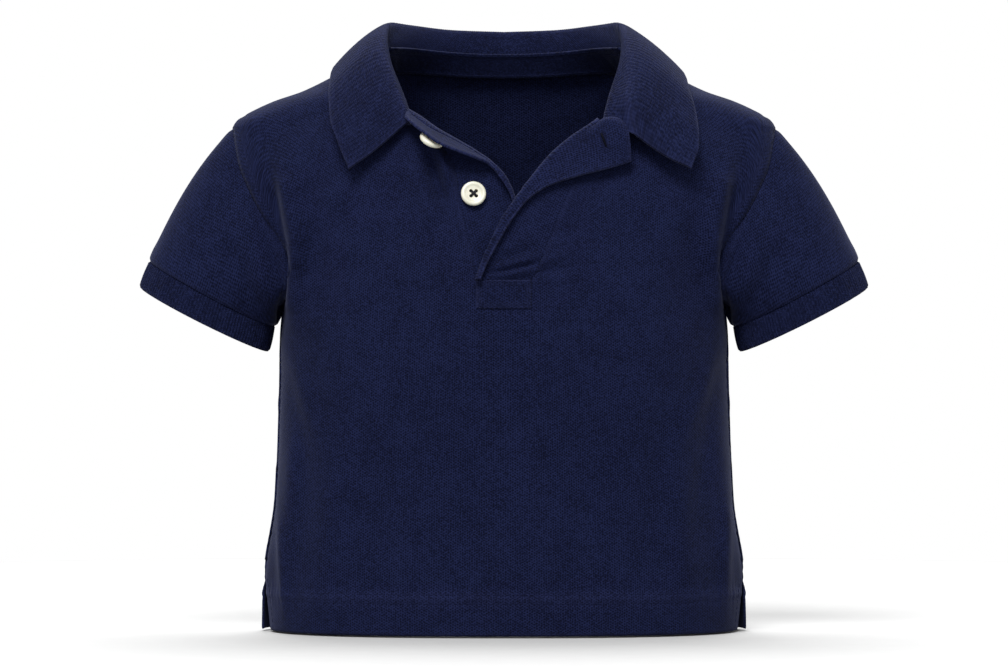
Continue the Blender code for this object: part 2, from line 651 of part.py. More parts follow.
def build():
    for item in list(bpy.data.objects):
        bpy.data.objects.remove(item, do_unlink=True)
    shirt = bpy.data.collections.new("polo_shirt")
    cutters = bpy.data.collections.new("cutters")
    bpy.context.scene.collection.children.link(shirt)
    bpy.context.scene.collection.children.link(cutters)
    pique = (NAVY, CLOTH_ROUGH)
    rib = (NAVY_RIB, CLOTH_ROUGH)

    def in_slit(center):
        return center.z > SLIT_BOTTOM_Z and slit_x(center.z, -1) * -1 < center.x < slit_x(center.z, 1)

    sheet("front", front_points(), PANEL_WALL, pique, shirt, without=in_slit)
    sheet("back", back_points(), PANEL_WALL, pique, shirt)
    for side_name, sign in (("left", 1), ("right", -1)):
        sheet("sleeve_" + side_name, sleeve_points(sign), PANEL_WALL, pique, shirt, closed=True)
        sheet("cuff_" + side_name, cuff_points(sign), CUFF_WALL, rib, shirt, closed=True)
    sheet("collar", collar_points(), COLLAR_WALL, rib, shirt, offset=0.0)
    sheet("neck_tape", tape_points(), TAPE_WALL, (NAVY_TAPE, CLOTH_ROUGH), shirt)
    placket = button_placket_points()
    sheet("placket_button", placket, PLACKET_WALL, pique, shirt)
    sheet("placket_buttonhole", buttonhole_placket_points(), PLACKET_WALL, pique, shirt)
    sheet("placket_box", box_points(), PANEL_WALL, pique, shirt)
    cream = (CREAM, BUTTON_ROUGH)
    button("button_lower", *lower_button_place(), cream, shirt, cutters)
    button("button_upper", *upper_button_place(placket), cream, shirt, cutters)


build()
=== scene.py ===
"""Looks of the baby's pique polo shirt: knit cloth, rib, stitching and buttons on the CAD's form.

+X is the wearer's left, -Y the front, +Z up. Tables and points are in millimetres, the scene in
metres. The form repeats part.py's tables at a finer grid, so that creases and ribs can be modelled.
"""

import bmesh
import bpy
import numpy as np
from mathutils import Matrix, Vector
from mathutils.bvhtree import BVHTree


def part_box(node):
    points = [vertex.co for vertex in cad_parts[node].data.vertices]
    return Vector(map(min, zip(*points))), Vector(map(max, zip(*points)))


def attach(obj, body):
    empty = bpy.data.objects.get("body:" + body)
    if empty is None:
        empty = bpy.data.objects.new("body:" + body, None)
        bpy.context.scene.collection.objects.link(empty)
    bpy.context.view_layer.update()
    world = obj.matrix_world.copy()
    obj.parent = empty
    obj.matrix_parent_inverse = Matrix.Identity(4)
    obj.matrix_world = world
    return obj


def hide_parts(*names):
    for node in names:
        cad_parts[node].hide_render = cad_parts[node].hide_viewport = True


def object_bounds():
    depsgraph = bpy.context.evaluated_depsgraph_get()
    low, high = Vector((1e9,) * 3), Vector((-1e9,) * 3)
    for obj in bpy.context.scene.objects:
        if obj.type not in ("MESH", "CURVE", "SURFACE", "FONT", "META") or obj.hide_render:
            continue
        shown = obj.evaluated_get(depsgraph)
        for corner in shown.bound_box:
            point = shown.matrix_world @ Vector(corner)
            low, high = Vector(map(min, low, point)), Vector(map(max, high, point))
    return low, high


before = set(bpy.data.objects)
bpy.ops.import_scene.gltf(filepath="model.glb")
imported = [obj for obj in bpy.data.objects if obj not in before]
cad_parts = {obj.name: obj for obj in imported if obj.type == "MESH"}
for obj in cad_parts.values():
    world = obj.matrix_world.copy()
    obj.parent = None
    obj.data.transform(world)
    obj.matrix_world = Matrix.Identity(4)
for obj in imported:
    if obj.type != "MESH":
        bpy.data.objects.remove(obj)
cad_lo, cad_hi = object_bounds()

MM = 0.001

# Walls of the cloth and the gaps between pieces
PANEL_WALL = 1.1
CAD_WALL = 1.2
PLACKET_WALL = 1.2
COLLAR_WALL = 1.5
CUFF_WALL = 1.5
TAPE_WALL = 0.8
SEAM_GAP = 0.35
CLOSED_GAP = 0.06

# Panel outline
HEM_Z = -265.3
VENT_TOP_Z = -242.0
SLIT_BOTTOM_Z = -105.0
SLIT_TOP_Z = -34.0
UNDERARM_Z = -113.0
SHOULDER_TIP_X = 125.0
SHOULDER_TIP_Z = -34.0
NECK_HALF = 57.0
NECK_BOW = 1.3
NECK_SHARE = 0.3
BACK_NECK_RISE = 4.0
PLACKET_HALF = 12.4

# Sleeve ends and cuffs, for the wearer's left; the right one is mirrored
SLEEVE_END = {"center": (134.7, -110.4), "half": (29.4, 15.4), "depth": 25.5, "nod": 2.0}
CUFF_TOP = {"center": (135.0, -111.0), "half": (28.9, 14.9), "depth": 24.8, "nod": 2.0}
CUFF_END = {"center": (138.4, -122.2), "half": (29.9, 14.9), "depth": 25.4, "nod": 2.0}
SLEEVE_PULL = 0.36

# Which way a sleeve's cloth leaves the armhole, at its top and under the arm, how far it spreads
# to the front and back there, and which way it reaches the cuff
LEAVE_TOP = (0.70, 0.0, -0.72)
LEAVE_UNDER = (0.1, 0.0, -1.0)
LEAVE_SPREAD = (0.0, 0.35, 0.0)
ARRIVE = (0.42, 0.0, -0.9)

# Buttons and plackets
BUTTON_THICK = 2.4
BUTTON_HOLE_RADIUS = 0.8
BUTTON_HOLE_PITCH = 2.4
BUTTON_LOWER = (-13.9, -66.2)
LIP_SLOPE = np.radians(33.0)
FOLD_ROLL = 0.8
PLACKET_GAP = 0.28

# How far the strips end below the slit's top; below 0 a strip runs on above it
BUTTON_SIDE_DROP = -3.6
BUTTONHOLE_SIDE_DROP = 0.9

# How far the upper button is pushed up under the lip, past its place in the CAD
UPPER_TUCK = 2.2

# Patch at the plackets' foot and tape behind the neck
BOX_BOTTOM_Z = -117.6
TAPE_DEPTH = 10.0
TAPE_SHARE = 0.272
TAPE_LIFT = 1.8
TAPE_INSET = 1.9

# Stitching: rows above the hem's edge, the thread, and how far rows lie from an edge or seam
HEM_ROWS = (14.6, 18.7)
HEM_ROW_HALF = 102.0
THREAD_RADIUS = 0.15
THREAD_PITCH = 2.7
THREAD_SHARE = 0.78
VENT_INSET = 1.2
ARMHOLE_INSET = 5.4
ARMHOLE_ROW = (-38.0, -103.0)
BOX_INSET = 1.3
BOX_TOP_INSET = 2.2
BOX_PITCH = 2.4


def smooth(keys, values, at):
    """Monotone cubic through the rows, held level past the ends."""
    at = np.clip(at, keys[0], keys[-1])
    step = np.diff(keys)
    slope = np.diff(values) / step
    before, after = slope[:-1], slope[1:]
    same = before * after > 0
    total = np.where(same, before + after, 1.0)
    inner = np.where(same, 2 * before * after / total, 0.0)
    tangent = np.concatenate(([slope[0]], inner, [slope[-1]]))
    k = np.clip(np.searchsorted(keys, at) - 1, 0, len(step) - 1)
    t = (at - keys[k]) / step[k]
    rise = values[k] * (1 + 2 * t) * (1 - t) ** 2 + values[k + 1] * t * t * (3 - 2 * t)
    return rise + step[k] * (tangent[k] * t * (1 - t) ** 2 + tangent[k + 1] * t * t * (t - 1))


class Table:
    """A short table with named columns; the first column is the key."""

    def __init__(self, names, rows):
        self.names = names
        self.rows = np.array(sorted(rows), float)

    def __call__(self, name, key):
        return smooth(self.rows[:, 0], self.rows[:, self.names.index(name)], key)


# Body form: level sections. half_* is where the sections end at the sides, depth_* how far they
# reach forward and back from seam_y, the line of the shoulder and side seams.
SECTIONS = Table(
    ("z", "half_front", "half_back", "depth_front", "depth_back", "seam_y", "square"), (
        (5.0, 50.0, 50.0, 20.0, 33.0, -4.0, 2.4),
        (0.0, 57.0, 57.0, 22.0, 35.0, -4.0, 2.4),
        (-9.5, 77.0, 77.0, 27.0, 39.0, -4.0, 2.5),
        (-17.3, 93.0, 93.0, 30.0, 42.0, -4.0, 2.6),
        (-22.0, 106.5, 106.5, 32.5, 43.5, -4.0, 2.6),
        (-27.5, 118.0, 118.0, 35.0, 45.0, -4.0, 2.6),
        (-31.5, 123.6, 123.6, 37.0, 46.0, -4.0, 2.6),
        (-34.0, 125.0, 125.0, 38.0, 47.0, -4.0, 2.6),
        (-50.0, 126.5, 126.5, 44.0, 50.0, -4.0, 2.6),
        (-64.0, 124.5, 124.5, 49.0, 52.0, -3.5, 2.5),
        (-80.0, 119.5, 119.5, 54.0, 54.0, -2.5, 2.4),
        (-95.0, 112.5, 112.5, 57.5, 55.0, -1.5, 2.4),
        (-106.0, 105.0, 105.0, 59.5, 55.0, -0.7, 2.7),
        (-110.0, 102.2, 102.2, 60.2, 55.0, -0.3, 2.95),
        (-113.0, 101.2, 101.2, 60.5, 55.0, 0.0, 3.1),
        (-130.0, 102.4, 102.4, 61.0, 54.0, 0.0, 2.9),
        (-160.0, 103.2, 103.2, 60.0, 52.5, 0.0, 2.8),
        (-205.0, 105.0, 105.0, 58.0, 54.0, 0.0, 2.6),
        (-242.0, 110.0, 110.0, 58.5, 57.0, 0.0, 2.6),
        (-246.0, 109.2, 110.8, 58.5, 57.5, 0.0, 2.6),
        (-266.0, 107.0, 111.4, 59.0, 59.0, 0.0, 2.6),
    ))

# Armhole seam, the same from the front and from behind
ARMHOLE = Table(("z", "x"), (
    (-34.0, 125.0),
    (-52.0, 121.4),
    (-64.0, 116.2),
    (-80.0, 108.0),
    (-95.0, 101.4),
    (-106.0, 97.8),
    (-110.0, 98.8),
    (-113.0, 101.2),
))

# The same line without its dip at the underarm; the inner columns of a panel follow it
EASY_SIDE = Table(("z", "x"), (
    (-34.0, 125.0),
    (-52.0, 121.4),
    (-64.0, 116.4),
    (-80.0, 110.0),
    (-95.0, 105.6),
    (-113.0, 103.0),
    (-135.0, 102.6),
    (-160.0, 103.2),
    (-205.0, 105.0),
    (-242.0, 108.4),
    (-266.0, 109.0),
))
EASY_POWER = 8

# Button placket on the wearer's right: seam, edge, how far the edge sinks behind the other
# placket, and the lip that is turned outward at its top
BUTTON_SIDE = Table(
    ("z", "seam_x", "edge_x", "edge_z", "sink", "lip", "roll"), (
        (-104.7, -12.4, 9.0, -104.7, 3.6, 0.8, 0.45),
        (-98.0, -13.2, 9.0, -97.0, 3.6, 0.8, 0.45),
        (-84.0, -16.5, 7.4, -82.0, 3.5, 0.8, 0.45),
        (-68.4, -20.0, 3.6, -66.5, 2.9, 1.0, 0.6),
        (-58.0, -21.5, -0.7, -57.9, 0.6, 2.0, 1.0),
        (-49.5, -23.5, -5.9, -52.0, -0.5, 4.0, 1.4),
        (-45.5, -27.0, -13.0, -47.0, -0.5, 6.5, 1.9),
        (-41.5, -31.5, -20.7, -42.4, -0.5, 9.6, 2.3),
        (-37.5, -37.0, -31.0, -36.4, -0.5, 12.2, 2.4),
        (-34.0, -42.0, -38.4, -31.0, 0.0, 12.0, 2.0),
    ))

# The cloth's lip goes on above the slit's top, up under the collar
LIP_TOP = (-30.0, -44.0, -46.0, -26.5, 0.3, 8.0, 1.6)
BUTTON_STRIP = Table(BUTTON_SIDE.names, [tuple(row) for row in BUTTON_SIDE.rows] + [LIP_TOP])

# Buttonhole placket on the wearer's left: seam, fold line and the free edge turned outward
BUTTONHOLE_SIDE = Table(
    ("z", "seam_x", "fold_x", "fold_z", "free_x", "free_z", "rest", "belly"), (
        (-104.7, 12.4, -11.6, -104.6, -10.4, -104.6, 1.5, 0.0),
        (-97.0, 16.0, -8.8, -96.5, -7.2, -97.0, 1.5, 0.0),
        (-88.0, 19.6, -5.0, -87.5, -2.7, -88.6, 1.5, 0.0),
        (-78.0, 23.5, -0.3, -77.8, 2.8, -79.2, 1.4, 0.0),
        (-67.5, 28.0, 6.5, -67.6, 11.0, -68.7, 1.3, 0.0),
        (-57.0, 33.0, 13.7, -57.9, 20.0, -62.6, 1.2, 0.0),
        (-49.0, 37.0, 22.0, -48.0, 32.0, -58.5, 1.1, 0.0),
        (-42.0, 40.5, 31.0, -40.3, 44.5, -55.2, 1.0, 2.0),
        (-37.0, 43.2, 39.4, -34.7, 54.0, -52.4, 1.0, 6.5),
        (-34.0, 45.2, 44.6, -31.0, 59.0, -50.6, 1.2, 10.0),
    ))

# Collar: "along" runs 0 at the centre back, 1 at the high point of the shoulder, 2 at the slit
COLLAR_COLUMNS = ("along", "roll_x", "roll_y", "roll_z", "edge_x", "edge_y", "edge_z")
COLLAR_BACK = (
    (0.0, 0.0, 33.5, 11.8, 0.0, 44.5, -24.5),
    (0.4, 23.5, 31.5, 12.5, 29.0, 43.8, -24.5),
    (0.75, 43.0, 22.0, 14.2, 57.0, 38.2, -21.5),
    (0.93, 51.5, 11.0, 14.9, 72.0, 24.0, -14.0),
)
COLLAR_RIGHT = Table(COLLAR_COLUMNS, COLLAR_BACK + (
    (1.08, 54.6, -6.0, 10.8, 78.5, -2.0, -7.6),
    (1.28, 54.8, -20.0, 1.8, 80.0, -25.0, -16.0),
    (1.52, 51.0, -32.5, -12.0, 79.0, -39.0, -31.0),
    (1.78, 46.4, -40.5, -24.0, 75.5, -46.3, -41.5),
    (2.0, 42.6, -45.0, -32.5, 70.2, -51.5, -54.3),
))
COLLAR_LEFT = Table(COLLAR_COLUMNS, COLLAR_BACK + (
    (1.08, 54.6, -6.0, 10.8, 82.5, -2.0, -9.6),
    (1.28, 56.2, -20.0, 1.4, 85.0, -26.5, -19.2),
    (1.52, 56.6, -33.0, -12.0, 88.0, -38.0, -32.5),
    (1.78, 55.8, -42.5, -24.5, 88.4, -45.3, -43.0),
    (2.0, 58.6, -48.5, -38.5, 84.8, -51.2, -53.8),
))
COLLAR_SEAM_STEP = 1.2
COLLAR_TUCK = 3.0
COLLAR_TUCK_IN = 1.2
COLLAR_BELLY = 0.8
COLLAR_ROUND = 8.0
COLLAR_ARCH = 2.2
COLLAR_BOW = 4.5
COLLAR_BOW_REACH = 0.4
NECK_MIDDLE_Y = -4.0

# Folds of the form: a line from (x0, z0) to (x1, z1), its half width and its rise outward
FOLD_COLUMNS = ("x0", "z0", "x1", "z1", "width", "rise")
FRONT_FOLDS = (
    (-97.0, -62.0, -95.0, -112.0, 6.0, 3.2),
    (98.0, -60.0, 96.0, -112.0, 6.0, 3.2),
    (-87.0, -165.0, -92.0, -235.0, 8.0, -1.8),
    (88.0, -150.0, 95.0, -238.0, 8.0, -1.8),
    (-30.0, -75.0, -52.0, -98.0, 12.0, -0.8),
    (26.0, -110.0, 50.0, -98.0, 10.0, -0.7),
    (-2.0, -124.0, 8.0, -176.0, 10.0, -1.0),
)
BACK_FOLDS = (
    (-70.0, -60.0, -82.0, -120.0, 9.0, -1.6),
    (70.0, -62.0, 84.0, -116.0, 9.0, -1.6),
    (-45.0, -170.0, -58.0, -245.0, 10.0, -1.6),
    (20.0, -160.0, 26.0, -240.0, 11.0, -1.4),
    (76.0, -165.0, 82.0, -240.0, 9.0, -1.6),
)

# Finer creases that only the cloth shows, in the same columns
FRONT_CREASES = (
    (-103.0, -128.0, -84.0, -176.0, 4.5, 0.8),
    (-99.0, -135.0, -90.0, -200.0, 4.0, -0.6),
    (-96.0, -178.0, -99.0, -238.0, 4.0, 1.2),
    (-76.0, -190.0, -81.0, -238.0, 7.0, 0.8),
    (-64.0, -176.0, -58.0, -240.0, 8.0, -0.7),
    (-44.0, -205.0, -42.0, -246.0, 9.0, 0.6),
    (-24.0, -178.0, -14.0, -244.0, 9.0, -0.6),
    (16.0, -190.0, 14.0, -246.0, 10.0, 0.6),
    (42.0, -170.0, 36.0, -236.0, 9.0, -0.6),
    (74.0, -160.0, 64.0, -236.0, 8.0, -0.8),
    (80.0, -196.0, 82.0, -244.0, 6.0, 0.8),
    (103.0, -126.0, 78.0, -182.0, 4.5, 0.9),
    (100.0, -134.0, 88.0, -206.0, 4.0, -0.7),
    (99.0, -176.0, 101.0, -234.0, 4.5, 0.9),
    (-30.5, -45.0, -24.0, -60.0, 2.2, 2.2),
    (-35.5, -46.0, -27.5, -70.0, 3.0, -3.4),
    (-43.0, -50.0, -31.0, -80.0, 4.0, 2.2),
    (-50.0, -56.0, -40.0, -84.0, 5.0, -0.7),
    (-100.0, -56.0, -93.5, -90.0, 4.2, 2.4),
    (-93.5, -84.0, -96.0, -120.0, 4.0, 2.8),
    (-107.5, -60.0, -100.5, -104.0, 3.8, -3.0),
    (100.0, -56.0, 93.5, -90.0, 4.2, 2.4),
    (93.5, -84.0, 96.0, -120.0, 4.0, 2.8),
    (107.5, -60.0, 100.5, -104.0, 3.8, -3.0),
    (-102.0, -212.0, -100.0, -252.0, 2.6, 1.1),
    (101.0, -206.0, 101.0, -250.0, 2.8, 1.0),
    (14.5, -98.0, 27.0, -93.5, 1.8, 0.8),
    (15.0, -101.5, 30.0, -99.0, 1.7, -0.7),
    (15.5, -104.5, 26.0, -105.5, 1.8, 0.6),
    (22.0, -84.0, 38.0, -78.0, 4.0, -0.5),
    (-88.0, -84.0, -76.0, -122.0, 7.0, -0.9),
    (88.0, -82.0, 77.0, -124.0, 7.0, -0.9),
    (-66.0, -62.0, -84.0, -72.0, 7.0, 0.7),
    (70.0, -64.0, 88.0, -74.0, 7.0, 0.7),
)
BACK_CREASES = (
    (-96.0, -60.0, -93.0, -112.0, 6.0, 1.8),
    (96.0, -62.0, 94.0, -112.0, 6.0, 1.8),
    (-100.0, -130.0, -80.0, -178.0, 5.0, 0.8),
    (100.0, -128.0, 76.0, -184.0, 5.0, 0.8),
    (-22.0, -60.0, -60.0, -74.0, 9.0, 0.7),
    (24.0, -62.0, 58.0, -70.0, 9.0, 0.6),
    (-10.0, -150.0, -18.0, -240.0, 9.0, 0.8),
    (44.0, -175.0, 52.0, -244.0, 8.0, 0.8),
    (-82.0, -180.0, -88.0, -240.0, 7.0, 0.8),
    (-30.0, -200.0, -34.0, -246.0, 7.0, -0.7),
)

# Short wrinkles where the buttonhole placket is caught at its foot
BUTTONHOLE_CREASES = (
    (-8.0, -103.6, 15.0, -100.2, 1.3, 1.6),
    (-7.5, -101.8, 14.0, -97.0, 1.1, -1.5),
    (-6.0, -100.4, 16.0, -94.0, 1.6, 1.4),
    (-3.0, -96.0, 14.0, -90.0, 2.0, -0.9),
)

# Creases of a sleeve's front and back, for the wearer's left
SLEEVE_FRONT_CREASES = (
    (108.0, -112.0, 117.0, -74.0, 5.0, 1.5),
    (113.0, -119.0, 127.0, -86.0, 4.0, -1.1),
    (120.0, -118.0, 138.0, -94.0, 6.0, 0.9),
    (112.0, -72.0, 122.0, -54.0, 5.0, -0.7),
    (128.0, -62.0, 138.0, -86.0, 7.0, -0.5),
    (140.0, -82.0, 148.0, -98.0, 6.0, 0.5),
)
SLEEVE_BACK_CREASES = (
    (109.0, -110.0, 118.0, -78.0, 5.0, 1.3),
    (115.0, -118.0, 130.0, -90.0, 5.0, -1.0),
    (126.0, -62.0, 136.0, -92.0, 7.0, 0.6),
    (138.0, -76.0, 150.0, -98.0, 6.0, -0.5),
)


def fold_height(x, z, folds):
    """Sum of the soft ridges and troughs at a place on a panel."""
    height = np.zeros(np.broadcast(x, z).shape)
    for row in folds:
        fold = dict(zip(FOLD_COLUMNS, row))
        along_x = fold["x1"] - fold["x0"]
        along_z = fold["z1"] - fold["z0"]
        length = np.hypot(along_x, along_z)
        t = ((x - fold["x0"]) * along_x + (z - fold["z0"]) * along_z) / length ** 2
        off = ((x - fold["x0"]) * along_z - (z - fold["z0"]) * along_x) / length
        fade = np.exp(-(2 * np.clip(t, 0, 1) - 1) ** 6) * np.exp(-((t - np.clip(t, 0, 1)) * 4) ** 2)
        height = height + fold["rise"] * fade * np.exp(-(off / fold["width"]) ** 2)
    return height


def torso_y(x, z, side):
    """Depth of the body form's front (side -1) or back (side +1)."""
    face = "front" if side < 0 else "back"
    ratio = np.clip(np.abs(x) / SECTIONS("half_" + face, z), 0, 1)
    bulge = np.sqrt(1 - ratio ** SECTIONS("square", z))
    folds = FRONT_FOLDS if side < 0 else BACK_FOLDS
    reach = SECTIONS("depth_" + face, z) * bulge + fold_height(x, z, folds) * bulge
    return SECTIONS("seam_y", z) + side * (CLOSED_GAP / 2 + reach)


SHOULDER_HEIGHTS = np.linspace(SHOULDER_TIP_Z, 0.0, 800)
SHOULDER_HALVES = SECTIONS("half_front", SHOULDER_HEIGHTS)


def shoulder_z(x):
    """Height of the shoulder seam at a distance from the centre."""
    return np.interp(-np.asarray(x), -SHOULDER_HALVES, SHOULDER_HEIGHTS)


def slit_x(z, sign):
    """Distance of the slit's edge from the centre, above 0 on both sides.

    Below the slit it gives the line that the panel's columns follow.
    """
    table = BUTTON_SIDE if sign < 0 else BUTTONHOLE_SIDE
    return sign * table("seam_x", z)


def front_top(q, start):
    """Top edge of half the front: neckline from the slit, then the shoulder seam."""
    inner = np.clip(q / NECK_SHARE, 0, 1)
    outer = np.clip((q - NECK_SHARE) / (1 - NECK_SHARE), 0, 1)
    neck_x = start + (NECK_HALF - start) * inner ** NECK_BOW
    shoulder_x = NECK_HALF + (SHOULDER_TIP_X - NECK_HALF) * outer
    on_neck = q <= NECK_SHARE
    x = np.where(on_neck, neck_x, shoulder_x)
    z = np.where(on_neck, SLIT_TOP_Z * (1 - inner), shoulder_z(shoulder_x))
    return x, z


def back_top(q):
    """Top edge of half the back: neckline from the centre, then the shoulder seam."""
    x, z = front_top(q, 0.0)
    k = np.sin(np.clip(q / NECK_SHARE, 0, 1) * np.pi / 2)
    on_neck = q <= NECK_SHARE
    return (np.where(on_neck, NECK_HALF * k, x),
            np.where(on_neck, BACK_NECK_RISE * k * k * (1 - k ** 8), z))


BLEND_FROM = 0.55


def panel(side, sign, row_z, q):
    """Points of a panel at heights row_z of its side edge and shares q from centre to side."""
    share = (row_z - HEM_Z) / (SHOULDER_TIP_Z - HEM_Z)
    start_top = slit_x(SLIT_TOP_Z, sign) if side < 0 else 0.0
    top_x, top_z = front_top(q, start_top) if side < 0 else back_top(q)
    z = HEM_Z + (top_z - HEM_Z) * share
    start = slit_x(z, sign) if side < 0 else 0.0
    half = SECTIONS("half_front" if side < 0 else "half_back", row_z)
    end = np.where(row_z >= UNDERARM_Z, ARMHOLE("x", row_z), half)
    spread_top = (top_x - start_top) / (SHOULDER_TIP_X - start_top)
    rising = np.clip((share - BLEND_FROM) / (1 - BLEND_FROM), 0, 1)
    blend = rising * rising * (3 - 2 * rising)
    spread = (1 - blend) * np.sin(q * np.pi / 2) + blend * spread_top
    easy = EASY_SIDE("x", row_z)
    x = start + (easy - start) * spread + (end - easy) * spread ** EASY_POWER
    y = torso_y(x, z, side)
    on_top = (row_z == SHOULDER_TIP_Z) & (q >= NECK_SHARE)
    y = np.where(on_top, SECTIONS("seam_y", z) + side * CLOSED_GAP / 2, y)
    return np.stack(np.broadcast_arrays(sign * x, y, z), axis=-1)


def run_along(points, axis):
    """Length along one axis of a grid of points."""
    step = np.linalg.norm(np.diff(points, axis=axis), axis=-1)
    start = np.zeros_like(np.take(step, [0], axis=axis))
    return np.concatenate((start, np.cumsum(step, axis=axis)), axis=axis)


def ripple(run):
    """Uneven waviness of sewn cloth along a seam, about -1 to 1."""
    return 0.5 * np.sin(run * 1.5) + 0.3 * np.sin(run * 0.93 + 1.0) + 0.2 * np.sin(run * 0.41 + 2.0)


def near(distance, width):
    """1 on a line, falling to 0 away from it."""
    return np.exp(-(distance / width) ** 2)


def step_up(value, start, width):
    """0 before start, 1 from start + width on, smooth between."""
    t = np.clip((value - start) / width, 0, 1)
    return t * t * (3 - 2 * t)


class Grid:
    """Rows and columns of points of one piece of cloth, with its normals, run and wear."""

    def __init__(self, points, middle, wrap=False):
        self.points = np.array(points, float)
        self.middle = middle
        self.wrap = wrap
        self.across = run_along(self.points, 1)
        self.along = run_along(self.points, 0)
        self.wear = np.zeros(self.points.shape[:2])
        self.rib = None
        self.zero = 0.0
        self.find_normals()

    def find_normals(self):
        """Unit normals, turned away from the middle."""
        points = self.points
        if self.wrap:
            points = np.concatenate((points[:, -2:-1], points, points[:, 1:2]), axis=1)
        normal = np.cross(np.gradient(points, axis=1), np.gradient(points, axis=0))
        if self.wrap:
            normal = normal[:, 1:-1]
        normal = normal / np.maximum(np.linalg.norm(normal, axis=2, keepdims=True), 1e-9)
        facing = np.sum(normal * (self.points - self.middle))
        self.outward = 1.0 if facing >= 0 else -1.0
        self.normals = normal * self.outward

    def lift(self, height):
        """Moves the points out along their normals."""
        self.points = self.points + self.normals * np.asarray(height)[..., None]
        self.find_normals()

    def rub(self, amount):
        """Adds wear, which lightens the cloth."""
        self.wear = np.clip(self.wear + amount, 0, 1)

    def faces(self, keep=None):
        """Corner rows and columns of the grid's quads."""
        rows, columns = self.points.shape[:2]
        row, column = np.meshgrid(np.arange(rows - 1), np.arange(columns - 1), indexing="ij")
        corner_rows = np.stack((row, row, row + 1, row + 1), axis=-1).reshape(-1, 4)
        corner_columns = np.stack((column, column + 1, column + 1, column), axis=-1).reshape(-1, 4)
        if keep is not None:
            center = self.points[corner_rows, corner_columns].mean(axis=1)
            kept = keep(center)
            corner_rows, corner_columns = corner_rows[kept], corner_columns[kept]
        if self.outward < 0:
            corner_rows, corner_columns = corner_rows[:, ::-1], corner_columns[:, ::-1]
        return corner_rows, corner_columns

    def area(self, keep=None):
        """Area of the grid's kept quads."""
        rows, columns = self.faces(keep)
        corner = self.points[rows, columns]
        crossed = np.cross(corner[:, 2] - corner[:, 0], corner[:, 3] - corner[:, 1])
        return np.linalg.norm(crossed, axis=1).sum() / 2

    def rims(self):
        """Corner rows, columns and sides of the quads that close a shell at the grid's edges."""
        last_row, last_column = self.points.shape[0] - 1, self.points.shape[1] - 1
        down = np.arange(last_row)
        along = np.arange(last_column)
        edges = [(np.zeros_like(along), along, np.zeros_like(along), along + 1),
                 (along * 0 + last_row, along + 1, along * 0 + last_row, along)]
        if not self.wrap:
            edges.append((down + 1, down * 0, down, down * 0))
            edges.append((down, down * 0 + last_column, down + 1, down * 0 + last_column))
        rows = np.concatenate([np.stack((a, a, c, c), axis=-1) for a, _, c, _ in edges])
        columns = np.concatenate([np.stack((b, b, d, d), axis=-1) for _, b, _, d in edges])
        sides = np.tile((0, 1, 1, 0), (len(rows), 1))
        if self.outward < 0:
            return rows[:, ::-1], columns[:, ::-1], sides[:, ::-1]
        return rows, columns, sides

    def object(self, name, keep=None, shell=None):
        """The grid as a mesh object with cloth coordinates in metres.

        A ribbed grid is closed into a shell here: shell says how far its two faces stand out
        and in from the points.
        """
        rows, columns = self.faces(keep)
        wide = self.points.shape[1] - 1 if self.wrap else self.points.shape[1]
        points = self.points
        wear = self.wear[:, :wide].reshape(-1)
        sides = np.zeros_like(rows)
        if shell:
            outer = points + self.normals * (shell[0] + self.rib)[..., None]
            inner = points - self.normals * (shell[1] + self.rib)[..., None]
            points = np.concatenate((outer, inner))
            wear = np.concatenate((wear, wear))
            rim_rows, rim_columns, rim_sides = self.rims()
            rows, columns, sides = (
                np.concatenate((rows, rows[:, ::-1], rim_rows)),
                np.concatenate((columns, columns[:, ::-1], rim_columns)),
                np.concatenate((sides, sides + 1, rim_sides)))
        index = sides * self.points.shape[0] * wide + rows * wide + columns % wide
        used, compact = np.unique(index, return_inverse=True)
        compact = compact.reshape(index.shape)
        places = points[:, :wide].reshape(-1, 3)[used] * MM
        mesh = bpy.data.meshes.new(name)
        mesh.from_pydata(places.tolist(), [], compact.tolist())
        layer = mesh.uv_layers.new(name="cloth")
        run = self.across - self.zero
        uv = np.stack((run[rows, columns], self.along[rows, columns]), axis=-1) * MM
        layer.data.foreach_set("uv", uv.reshape(-1))
        attribute = mesh.attributes.new("wear", "FLOAT", "POINT")
        attribute.data.foreach_set("value", wear[used])
        mesh.shade_smooth()
        item = bpy.data.objects.new(name, mesh)
        bpy.context.scene.collection.objects.link(item)
        return item


class Surface:
    """Nearest places on one or more grids, for stitches and seam allowances."""

    def __init__(self, *grids):
        places = []
        faces = []
        for grid in grids:
            start = len(places)
            rows, columns = grid.faces()
            wide = grid.points.shape[1]
            places.extend(grid.points.reshape(-1, 3).tolist())
            faces.extend((rows * wide + columns + start).tolist())
        self.tree = BVHTree.FromPolygons(places, faces)

    def place(self, points):
        """Places on the surface nearest to the points, and the normals there."""
        found = [self.tree.find_nearest(Vector(point)) for point in np.reshape(points, (-1, 3))]
        return np.array([hit[0] for hit in found]), np.array([hit[1] for hit in found])


def spaced(*stretches):
    """Values through stretches of (start, end, steps)."""
    values = [np.linspace(start, end, steps, endpoint=False) for start, end, steps in stretches]
    return np.concatenate(values + [[stretches[-1][1]]])


# Rows of a panel: closer in the hem band, and closing up toward the top edge
HEM_BAND = 22.0
TOP_BAND = 11.0
TOP_EASE = SHOULDER_TIP_Z - TOP_BAND * np.linspace(1.0, 0.0, 16) ** 1.8
PANEL_ROWS = np.concatenate((
    spaced((HEM_Z, HEM_Z + HEM_BAND, 24), (HEM_Z + HEM_BAND, UNDERARM_Z, 80),
           (UNDERARM_Z, SLIT_BOTTOM_Z, 7), (SLIT_BOTTOM_Z, SHOULDER_TIP_Z - TOP_BAND, 40))[:-1], TOP_EASE))
HALF_SHARES = np.linspace(0.0, 1.0, 105)
SLIT_COLUMNS = 16

